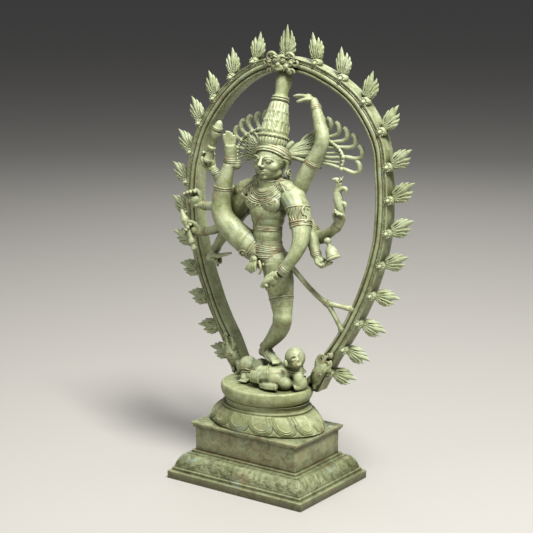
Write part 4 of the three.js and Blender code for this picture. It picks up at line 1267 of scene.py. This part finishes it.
def makeStandingLeg():
    parts = [
        ball((18, 4, 378), (25, 24, 22)),
        bentRod([(17, 4, 376), (24, 2, 346), (33, -4, 312), (38, -8, 292)], [25, 24, 19, 15.5], 28, 8),
        ball((38, -9, 289), (16.2, 15.6, 17)),
        bentRod([(37, -7, 288), (30, -1, 272), (20, 3, 258), (2, 6, 238), (-10, 8, 226)],
                [15, 15.5, 15, 11, 8.8], 28, 8),
        bentRod([(-17, 12, 218), (-6, 6, 219), (10, -2, 215), (26, -11, 213)], [8.5, 9, 8.6, 7], 24, 7),
    ]
    ahead = Vector((27, -13, 0)).normalized()
    across = Vector((-ahead.y, ahead.x, 0))
    for number in range(5):
        side = (number - 2) * leg["toeGapStanding"]
        start = Vector((22, -9, 214)) + across * side * 0.6
        tip = Vector((35.5 - abs(side) * 0.35, -15.5, 210.5)) + across * side
        parts.append(bentRod([tuple(start), tuple(start.lerp(tip, 0.6) + Vector((0, 0, 1.5))), tuple(tip)],
                             [4.2, 2.8, 2.1], 8, 3))
    limb = fuse(parts, "standingLeg", leg["voxel"], 3, 0.5)
    skin = skinOf(limb)
    extras = []
    extras += wraps(skin, (31, -3, 318), (0.3, -0.2, -1), 45, [(-2.2, 1.4), (0.8, 1.0), (6, 0.6), (13, 0.6)])
    extras += wraps(skin, (-9, 8, 227.5), (0.55, 0, 1), 40, [(-2.8, 1.2), (0, 1.7), (2.8, 1.2)])
    extras += wraps(skin, (35, -6, 279), (0.5, -0.4, 1), 40, [(0, 0.9), (2.6, 1.2)])
    finishFigure([limb] + extras, "standingLeg", "standing_leg")


makeRaisedLeg()
makeStandingLeg()
print("legs built")


# arms: joints with radii, then the hand, then armlets and bangles as (centre, axis, rows)

def makeArm(name, node, joints, radii, hand, bands, voxel=0.8, extras=()):
    parts = [bentRod(joints, radii, 26, 8), ball(joints[0], radii[0] * 1.02), ball(joints[-1], radii[-1])]
    parts += handParts(**hand)
    arm = fuse(parts, name, voxel, 2, 0.5)
    skin = skinOf(arm)
    rings = []
    for centre, axis, rows in bands:
        rings += wraps(skin, centre, axis, 34, rows)
    finishFigure([arm] + rings + list(extras), name, node)


bangle = [(-2.6, 1.3), (0.4, 1.6), (3.2, 1.2)]
armlet = [(-2.8, 1.0), (0, 1.7), (2.8, 1.0)]

makeArm("armRightTop", "arm_right_top",
        [(-48, 18, 484), (-74, 23, 482), (-97, 24, 484), (-110, 19, 498), (-122, 13, 520)], [12, 11.5, 10, 8, 6.6],
        {"wrist": (-124, 12, 519), "forward": (-0.3, -0.1, 1), "palm": (0.75, -0.5, 0.2), "curls": (24, 34, 40, 46),
         "thumbSide": -1, "thumbLift": 4, "fingerLength": 15, "size": 1.35},
        [((-76, 23, 482), (1, 0, 0), armlet), ((-119, 14.5, 514), (-0.35, -0.2, 1), bangle)])
makeArm("armRightUpper", "arm_right_upper",
        [(-52, 19, 472), (-74, 21, 464), (-94, 22, 458), (-118, 17, 455), (-146, 11, 455)], [12, 11, 10, 8.2, 6.6],
        {"wrist": (-149, 10, 455), "forward": (-0.7, -0.1, 0.75), "palm": (0.3, -0.9, 0.5), "curls": (30, 38, 44, 52),
         "thumbSide": 1, "thumbLift": 6, "size": 1.35},
        [((-74, 21, 464), (-1, 0, -0.3), armlet), ((-139, 12.5, 455), (-1, -0.2, 0), bangle)])
makeArm("armRightLower", "arm_right_lower",
        [(-56, 19, 458), (-74, 21, 444), (-93, 22, 430), (-118, 17, 416), (-147, 11, 408)], [12, 11, 10, 8.2, 6.6],
        {"wrist": (-149, 10, 408), "forward": (-0.9, -0.1, 0.3), "palm": (0.1, -1, 0.1), "curls": (46, 52, 56, 60),
         "thumbSide": 1, "thumbLift": 7, "palmLength": 13, "size": 1.3},
        [((-76, 21, 442), (-1, 0, -0.75), armlet), ((-140, 12.5, 410), (-1, -0.2, -0.3), bangle)])
makeArm("armRightFront", "arm_right_front",
        [(-62, 10, 452), (-78, 14, 432), (-97, 14, 411), (-108, 8, 392), (-113, 4, 379)], [13, 12, 10, 8, 6.8],
        {"wrist": (-113, 4, 380), "forward": (0.15, -0.3, -1), "palm": (1, -0.3, 0.1), "curls": (8, 30, 40, 46),
         "thumbSide": -1, "thumbLift": 5, "palmLength": 10, "fingerLength": 15},
        [((-80, 14, 430), (-1, 0, -1.1), armlet), ((-111, 5.5, 385), (-0.3, -0.2, -1), bangle)],
        extras=[bentRod([(-124, 0, 366), (-118, -1, 370), (-106, -3, 373), (-92, -6, 377), (-78, -8, 381),
                         (-68, -8, 384)], [3.5, 7.4, 5.4, 3.8, 3.0, 1.8], 10, 5)])
makeArm("armLeftRaised", "arm_left_raised",
        [(46, 18, 490), (66, 21, 530), (86, 25, 566), (90, 27, 584), (82, 32, 605), (70, 38, 630), (64, 41, 641)],
        [14, 13, 12, 11.6, 10.4, 8.2, 6.8],
        {"wrist": (63, 40, 643), "forward": (-0.93, 0.02, 0.22), "palm": (0.1, -0.5, -1), "curls": (6, 7, 8, 9),
         "thumbSide": 1, "thumbLift": 10, "palmLength": 15, "fingerLength": 19, "spread": 0.72},
        [((74, 23, 545), (0.5, 0.1, 1), armlet), ((69, 38.5, 631), (-0.5, 0.25, 1), bangle)])
makeArm("armLeftDeer", "arm_left_deer",
        [(60, 17, 450), (76, 17, 436), (93, 16, 425), (116, 10, 436), (138, 4, 452)], [13.5, 12, 10.8, 8.6, 6.8],
        {"wrist": (138, 4, 452), "forward": (0.3, -0.1, 1), "palm": (-0.1, -0.9, 0.2), "curls": (26, 34, 36, 30),
         "thumbSide": -1, "thumbLift": 5, "fingerLength": 15},
        [((82, 17, 432), (1, 0, -0.7), armlet), ((132, 5.5, 447), (1, -0.2, 0.8), bangle)])
makeArm("armLeftBell", "arm_left_bell",
        [(62, 9, 444), (76, 6, 434), (88, 3, 424), (96, -2, 408), (104, -5, 396)], [13.5, 12.5, 11, 8.6, 6.8],
        {"wrist": (104, -5, 395), "forward": (0.9, -0.1, -0.5), "palm": (0.2, -0.5, 1), "curls": (24, 34, 40, 44),
         "thumbSide": 1, "thumbLift": 6, "fingerLength": 15},
        [((100, -3.5, 402), (0.5, -0.2, -1), bangle)])


# the front arm hangs across the body and wears the frilled armlet
def makeFrontArm():
    frill = []
    joints = [(44, 4, 490), (60, 0, 474), (70, -5, 452), (79, -16, 430), (79, -28, 408), (68, -37, 386), (57, -42, 371)]
    parts = [bentRod(joints, [18, 20, 18.5, 15, 11.8, 9.4, 7.8], 14, 6), ball((47, 4, 485), (20, 18, 18))]
    parts += handParts((55, -43, 369), (-0.9, -0.1, -0.5), (0.0, -0.35, -1), 1.4, (18, 26, 34, 44), -1, 5, 13, 15)
    parts += [ball((42, -46, 360), (11.5, 9, 10)),
              bentRod([(50, -50, 364), (38, -55, 358), (29, -55, 347)], [5.4, 5, 3.2], 10, 4)]
    arm = fuse(parts, "armLeftFront", 0.85, 2, 0.5)
    skin = skinOf(arm)
    for shift, wire in ((-14, 1.6), (-11, 1.2), (-7, 1.6), (17, 1.3)):
        frill.append(wrap(skin, (68, -2, 456), (-0.32, 0.3, 1), 45, wire, shift, 0.3, 24))
    for k in range(-3, 5):
        spots = [(62 + 4.6 * k, 478 - 1.2 * abs(k)), (63 + 4.9 * k, 470), (61 + 5.1 * k, 462), (64 + 4.6 * k, 455)]
        line = castOn(skin, [(x + 40, -80, z) for x, z in spots], [(x, 0, z) for x, z in spots], 0.4)
        if len(line) > 2:
            frill.append(bentRod(line, [1.2] * len(line), 6, 4))
    # ribbon in an S
    wave = [(74, 478), (70, 472), (73, 466), (79, 463), (80, 457), (75, 454)]
    line = castOn(skin, [(x + 45, -70, z) for x, z in wave], [(x, 0, z) for x, z in wave], 0.8)
    if len(line) > 2:
        frill.append(bentRod(line, [1.9] * len(line), 8, 4))
    bands = wraps(skin, (62, -39.5, 378), (-0.55, -0.25, -0.75), 34, bangle)
    finishFigure([arm] + frill + bands, "armLeftFront", "arm_left_front")


makeFrontArm()
print("arms built")


# what the hands hold

def swell(item, low, high, amount):
    # thickens a turned form about its own axis
    turn = facing(Vector(high) - Vector(low)).to_matrix().to_4x4()
    there = Matrix.Translation(vec(low)) @ turn
    item.data.transform(there @ Matrix.Diagonal((amount, amount, 1, 1)) @ there.inverted())


def makeHeld():
    drum = [turned((-126, 3, 532), (-97, 2, 603), [
        (5.5, 0), (7.2, 0.02), (7.4, 0.07), (6.0, 0.1), (4.6, 0.24), (4.4, 0.3), (6.2, 0.33), (6.4, 0.37), (4.6, 0.4),
        (4.9, 0.55), (6.8, 0.62), (7.4, 0.7), (7.0, 0.74), (5.6, 0.76), (7.2, 0.79), (7.3, 0.84), (5.8, 0.87),
        (5.0, 0.93), (3.2, 0.98), (1.2, 1)], 24)]
    swell(drum[0], (-126, 3, 532), (-97, 2, 603), 1.18)
    finishPiece(joinAll(drum, "handDrum"), "handDrum", figureCoat, ["hand_drum"], angle=35)
    club = [turned((-151, -1, 379), (-180, -1, 447), [
        (3.4, 0), (5.6, 0.015), (5.8, 0.06), (4.4, 0.09), (4.2, 0.14), (6.4, 0.17), (6.6, 0.23), (5.0, 0.26),
        (3.9, 0.33), (3.7, 0.55), (5.0, 0.62), (6.6, 0.68), (7.2, 0.74), (6.2, 0.79), (4.8, 0.82), (4.2, 0.88),
        (2.2, 0.96), (0.6, 1)], 24)]
    for i in range(6):
        angle = math.pi * i / 3
        spot = (-171.5 + 5.6 * math.cos(angle), -1 + 6.2 * math.sin(angle), 427 + 2.5 * math.cos(angle))
        club.append(ball(spot, 2.0, rings=6))
    finishPiece(joinAll(club, "handClub"), "handClub", figureCoat, ["hand_club"], angle=35)
    bell = [turned((136, -7, 398), (120, -4, 431), [
        (9.5, 0), (12.2, 0.01), (12.6, 0.05), (11.4, 0.09), (11.0, 0.12), (11.4, 0.15), (10.4, 0.2), (9.9, 0.32),
        (9.2, 0.42), (7.2, 0.52), (4.4, 0.58), (3.2, 0.64), (3.2, 0.7), (5.2, 0.77), (6.0, 0.85), (5.2, 0.93),
        (3.0, 0.98), (0.8, 1)], 32)]
    finishPiece(joinAll(bell, "handBell"), "handBell", figureCoat, ["hand_bell"], angle=35)
    deer = [
        bentRod([(143, 2, 471), (141, 2, 482), (137, 2, 494), (136, 2, 504)], [6.4, 8.2, 8.0, 6.6], 12, 5),
        bentRod([(136, 2, 502), (136.5, 2, 511), (139, 2, 520)], [6.4, 4.9, 4.5], 10, 5),
        bentRod([(141, 2, 521), (135.5, 2, 524), (127.5, 1, 524.5)], [5.2, 4.4, 2.4], 10, 5),
        bentRod([(139.5, 4, 523), (144, 6, 530)], [2.2, 0.9], 8, 3),
        bentRod([(139.5, 0, 523), (143.5, -2, 530)], [2.2, 0.9], 8, 3),
        bentRod([(137, 2, 506), (145, 3, 511.5), (151, 3, 511), (151.5, 3, 505)], [4.8, 3.9, 3.4, 3.0], 10, 4),
        bentRod([(142, 2, 484), (149, 2, 488), (151.5, 2, 482)], [5.0, 3.8, 2.8], 8, 4),
        bentRod([(133.5, 4, 480), (130, 5, 487)], [2.6, 1.4], 8, 3),
    ]
    deer = fuse(deer, "handDeer", 0.6, 1, 0.4)
    finishPiece(deer, "handDeer", figureCoat, ["hand_deer"], angle=60)


makeHeld()


# dwarf lying under the standing foot, on its front, head turned out
dwarf = {
    "voxel": 0.95,
    "faceTurn": 72, "faceTilt": -15, "faceLean": -8,  # degrees: to the figure's left, up, sideways
}


def makeDwarf():
    z = seatTop
    parts = [
        bentRod([(-32, 14, z + 13), (-12, 12, z + 17), (12, 10, z + 17), (34, 8, z + 18), (54, 8, z + 19)],
                [14, 18, 17.5, 19, 16], 14, 5),
        bentRod([(60, 2, z + 32), (59, 0, z + 44)], [11, 12], 12, 4),
        ball((58, -1, z + 52), (17.2, 17.4, 18.2)), ball((54, -10, z + 47), (10, 7, 10)),
        bentRod([(62, 0, z + 29), (70, -8, z + 19), (72, -9, z + 8), (66, -16, z + 5)], [11, 9, 7.5, 6], 12, 5),
        bentRod([(46, 0, z + 24), (32, -14, z + 22), (12, -21, z + 19), (2, -22, z + 14)], [15, 16, 16.5, 14], 12, 5),
        ball((5, -22, z + 18), (15, 13, 17)), ball((30, -20, z + 15), (18, 14, 17)),
        bentRod([(-10, 16, z + 14), (-34, 4, z + 20), (-37, -2, z + 22)], [13, 14, 13.5], 12, 5),
        ball((-35, -5, z + 24), (17, 16, 17)), ball((-14, 4, z + 20), (17, 18, 18)),
        bentRod([(-36, -6, z + 17), (-33, -18, z + 8), (-30, -26, z + 4.5)], [11, 7.5, 5], 12, 5),
        bentRod([(10, -33, z + 4), (26, -37, z + 7), (46, -36, z + 8)], [4, 5.5, 5], 8, 4),
        bentRod([(14, -38, z + 2.5), (30, -41, z + 4), (47, -38, z + 5)], [2, 2.6, 2.4], 8, 4),
    ]
    for number in range(4):
        parts.append(bentRod([(-31 + 2.8 * number, -22, z + 5.5), (-36 + 4.6 * number, -32, z + 3)], [2.8, 1.8], 8, 3))
        parts.append(bentRod([(-6 + 4.6 * number, -33, z + 27), (-7 + 4.8 * number, -37, z + 18),
                              (-5 + 4.6 * number, -37, z + 8)], [2.6, 2.8, 2.2], 8, 4))
    # face, shaped straight ahead and then turned on the head
    face = [bentRod([(51, -15.8, z + 56), (49.5, -18.0, z + 48.5)], [2.3, 3.4], 8, 3),
            ball((50.5, -13, z + 46), (10, 5.5, 9)),
            bentRod([(44.8, -15.2, z + 42.4), (50, -18.6, z + 41.4), (55.2, -16.6, z + 42)], [1.5, 2.4, 1.5], 8, 3)]
    for side in (-1, 1):
        face.append(ball((50.5 + 6.8 * side, -16.2 + 1.4 * abs(side), z + 52.6), (4.4, 3.2, 2.7), rings=8))
        face.append(bentRod([(50.5 + 2.8 * side, -17.0, z + 57.5), (50.5 + 7.0 * side, -15.8, z + 59.2),
                             (50.5 + 11 * side, -12.4, z + 56.4)], [1.4, 1.9, 1.1], 8, 3))
        face.append(ball((50.5 + 15.5 * side, -4, z + 50), (3.2, 4, 6.5), rings=8))
    pivot = Matrix.Translation(Vector((58, -1, z + 52)) * mm)
    tilt = (Matrix.Rotation(math.radians(dwarf["faceTilt"]), 4, "X")
            @ Matrix.Rotation(math.radians(dwarf["faceLean"]), 4, "Y"))
    turn = pivot @ Matrix.Rotation(math.radians(dwarf["faceTurn"]), 4, "Z") @ tilt @ pivot.inverted()
    for piece in face:
        piece.data.transform(turn)
    parts += face
    parts += [ball((70, -4, z + 12), (12, 13, 13)), ball((-24, -8, z + 10), (15, 15, 11)),
              ball((48, -16, z + 10), (14, 13, 12)), ball((16, 6, z + 12), (46, 16, 14))]
    figure = fuse(parts, "dwarf", dwarf["voxel"], 2, 0.5)
    for vertex in figure.data.vertices:
        if vertex.co.z < (z + 0.15) * mm:
            vertex.co.z = (z + 0.15) * mm
    skin = skinOf(figure)
    extras = []
    extras += wraps(skin, (-34, -13, z + 11.5), (0.2, -1, -0.9), 34, [(-2, 1.2), (1, 1.5)])
    extras.append(hoop((67, -2, z + 20), (0.6, -0.5, -1), 10.6, 1.4))
    extras.append(hoop((19, -18, z + 20.5), (-1, -0.45, -0.12), 17.2, 1.2))
    for reach in (12, 15):
        extras.append(hoop((60, 1.5, z + 33 - (reach - 12)), (0.05, 0.1, 1), reach, 1.2))
    finishFigure([figure] + extras, "dwarf", "dwarf")


makeDwarf()


# cloth sash blown out from the hip and tied to the arch in two ends
sash = {
    "voxel": 0.8, "ties": (0.245, 0.185),  # where along the arch the two ends are tied
    "pleats": 3, "pleatWire": 1.5,
}


def makeSash():
    archSpots, _ = archLine(1, 400)
    parts = []
    path = [(30, 8, 383), (45, 8, 371), (62, 8, 356), (77, 12, 340), (92, 18, 325), (106, 26, 313)]
    ends = []
    for share in sash["ties"]:
        spot = archSpots[round(share * 399)]
        tangent = (archSpots[round(share * 399) + 2] - archSpots[round(share * 399) - 2]).normalized()
        outward = Vector((tangent.z, 0, -tangent.x)).normalized()
        ends.append(spot - outward * 9 + Vector((0, -9.5, 0)))
    radii = [5.6, 4.8, 4.4, 4.4, 4.6, 5.4]
    parts.append(bentRod(path, radii, 10, 5))
    for end in ends:
        mid = Vector((106, 26, 313)).lerp(end, 0.5) + Vector((0, -1.5, 1.5))
        parts.append(bentRod([(104, 25, 314.5), tuple(mid), tuple(end)], [4.6, 3.8, 4.8], 10, 5))
        parts.append(ball(tuple(end), (6.5, 5.5, 6.5), rings=8))
    cloth = fuse(parts, "sash", sash["voxel"], 1, 0.5)
    extras = []
    for k in range(sash["pleats"]):
        angle = math.radians(-90 + 50 * (k - 1) - 20)
        line = [(x + 3.9 * math.cos(angle) * r / 4.6, y + 3.9 * math.sin(angle) * r / 4.6, z + 1.4 * (1 - k))
                for (x, y, z), r in zip(path, radii)]
        extras.append(bentRod(line, [sash["pleatWire"]] * len(line), 6, 5))
    for axisShift in (-3, 0, 3):
        mid = Vector((103, 24.4, 315.6)) + Vector((0.68, 0.4, -0.6)) * axisShift
        extras.append(hoop(tuple(mid), (0.68, 0.4, -0.6), 5.3, 1.4))
    finishFigure([cloth] + extras, "sash", "sash")


makeSash()
print("held things, dwarf and sash built")


# beasts: the mask over the crown and the two heads the arch springs from

def makeMask():
    mid = (0, 42.5, 700)
    parts = [ball(mid, (17, 10, 14)), ball((0, 35, 694), (9, 7, 7)), ball((0, 31, 698), (5, 4.5, 4), rings=8),
             bentRod([(-8, 33, 692), (0, 29.5, 690), (8, 33, 692)], [2.0, 2.6, 2.0], 8, 4)]
    for side in (-1, 1):
        parts.append(ball((side * 8, 34.5, 704.5), 4.6, rings=10))
        parts.append(ball((side * 11.5, 36, 695), (5.5, 4.5, 5)))
        parts.append(bentRod([(side * 3, 32, 709), (side * 8.5, 31.5, 711.5), (side * 14, 35, 708.5)],
                             [1.6, 2.0, 1.2], 8, 4))
        parts.append(bentRod([(side * 9, 39, 711), (side * 16, 38, 716), (side * 24, 38, 714), (side * 26, 38, 708),
                              (side * 22, 37, 706)], [3.2, 3.2, 2.8, 2.4, 1.4], 8, 4))
        parts.append(bentRod([(side * 14, 40, 700), (side * 22, 40, 699), (side * 30, 40, 697), (side * 33, 39, 702),
                              (side * 30, 38, 705)], [3.6, 3.4, 3.0, 2.4, 1.4], 8, 4))
        parts.append(bentRod([(side * 12, 39, 692), (side * 20, 39, 691), (side * 26, 39, 688), (side * 27, 38, 684)],
                             [3.4, 3.0, 2.4, 1.4], 8, 4))
        parts.append(coil((side * 21, 38, 700), (side, 0, 0.3), (0, 0, 1), 6, 2.4, 1.4, (0, -3, 0)))
        parts.append(coil((side * 17, 38, 689), (side, 0, -0.5), (0, 0, -1), 5, 2.2, 1.3, (0, -3, 0)))
        parts.append(coil((side * 17, 39, 711), (side, 0, 0.5), (0, 0, 1), 4.6, 2.0, 1.3, (0, -3, 0)))
        for number in range(3):
            x = side * (2 + 4 * number)
            parts.append(bentRod([(x, 31.5 + number, 691.5), (x, 30.5 + number, 687)], [1.5, 0.6], 6, 2))
    mask = fuse(parts, "mask", 0.75, 1, 0.4)
    extras = [hoop((side * 8, 31.2, 704.5), (side * 0.15, -1, 0), 3.4, 0.8) for side in (-1, 1)]
    extras += [ball((side * 8, 30.4, 704.5), 1.7, rings=6) for side in (-1, 1)]
    whole = joinAll([mask] + extras, "mask")
    finishPiece(whole, "mask", archCoat, ["mask"], 60)


def makeMakara(side, name, node):
    spots, length = archLine(side, 600)

    def at(along, out, front):
        index = min(max(round(along / length * 599), 1), 598)
        tangent = (spots[index + 1] - spots[index - 1]).normalized()
        outward = Vector((tangent.z, 0, -tangent.x)).normalized() * side
        return tuple(spots[index] + outward * out + Vector((0, -front, 0)))

    parts = [
        bentRod([at(22, 0, 12), at(34, -1, 17), at(48, 0, 17), at(60, 1, 13)], [9, 11, 11.5, 9], 12, 5),
        bentRod([at(30, -6, 17), at(20, -9, 21), at(12, -8, 23), at(9, -3, 24), at(13, 0, 24)],
                [5.5, 4.6, 3.8, 3.2, 2.0], 10, 5),
        bentRod([at(28, 5, 17), at(18, 4, 20), at(14, 7, 20)], [5, 4, 2.4], 10, 4),
        ball(at(44, -5, 25), 3.9, rings=8), ball(at(44, 5.5, 25), 3.9, rings=8),
        bentRod([at(50, -9, 20), at(60, -13, 19), at(70, -12, 18), at(72, -7, 18)], [4, 3.4, 2.6, 1.4], 8, 4),
        bentRod([at(52, -1, 22), at(64, -2, 20), at(75, -1, 17), at(78, 4, 16)], [4, 3.4, 2.6, 1.4], 8, 4),
        bentRod([at(50, 8, 20), at(60, 11, 18), at(68, 13, 16)], [3.6, 3, 1.4], 8, 4),
    ]
    # curled mane and ears
    for along, out, front, reach in ((66, -7, 16, 6), (66, 6, 16, 5.6), (57, -11, 17, 4.6), (56, 11, 16, 4.6),
                                     (78, 0, 15, 5.2)):
        parts.append(coil(at(along, out, front), Vector(at(along + 1, out, front)) - Vector(at(along, out, front)),
                          Vector(at(along, out + side, front)) - Vector(at(along, out, front)), reach, 2.4, 1.4,
                          (0, -3, 0)))
    for number in range(4):
        parts.append(bentRod([at(30 - 4 * number, -1 + number, 19), at(28 - 4 * number, 0.5 + number, 22)],
                             [1.7, 0.7], 6, 2))
        parts.append(bentRod([at(38 + 6 * number, -10, 14), at(41 + 6 * number, -14.5, 13)], [2.4, 1.0], 6, 2))
    makara = fuse(parts, name, 0.8, 1, 0.4)
    for vertex in makara.data.vertices:
        vertex.co.z = max(vertex.co.z, (seatTop - 4) * mm)
    extras = []
    for out in (-5, 5.5):
        extras.append(hoop(at(44, out, 28), (0, -1, 0), 3.0, 0.7))
        extras.append(ball(at(44, out, 28.6), 1.5, rings=6))
    whole = joinAll([makara] + extras, name)
    finishPiece(whole, name, archCoat, [node], 60)


makeMask()
makeMakara(1, "makaraLeft", "makara_left")
makeMakara(-1, "makaraRight", "makara_right")
print("beasts built")


# crest flame over the arch: a long spike, lobes on both sides and two round scrolls at the root
def makeCrest():
    tongues = [((62.0, 0.0), (34, 0), 5.2)]
    for side in (-1, 1):
        tongues += [((53, side * 7), (33, side * 7.5), 3.6), ((43, side * 12.5), (27, side * 10), 3.4),
                    ((33, side * 15.5), (21, side * 10.5), 3.2), ((23, side * 16), (14, side * 9.5), 3.0)]
    crest = makeFlameForm(tongues, "flameCrest")
    scrolls = []
    for side in (-1, 1):
        scrolls.append(ball((12, -5, side * 7), (4.4, 3.2, 4.4), rings=10))
        scrolls.append(hoop((12, -6.5, side * 7), (0, -1, 0), 4.6, 1.2))
    whole = joinAll([crest] + scrolls, "flameCrest")
    top = seatTop + arch["height"]
    turn = Matrix((Vector((0, 0, 1)), Vector((0, 1, 0)), Vector((-1, 0, 0)))).transposed().to_4x4()
    whole.data.transform(Matrix.Translation(vec((0, arch["topY"], top))) @ turn
                         @ Matrix.Translation(vec((arch["width"] / 2 - 9.8, 0, 0))))
    finishPiece(whole, "flameCrest", flameCoat, ["flame_crest"], 0)


makeCrest()
print("crest flame built")

for scrap in (flameForm, bossForm):
    bpy.data.objects.remove(scrap)
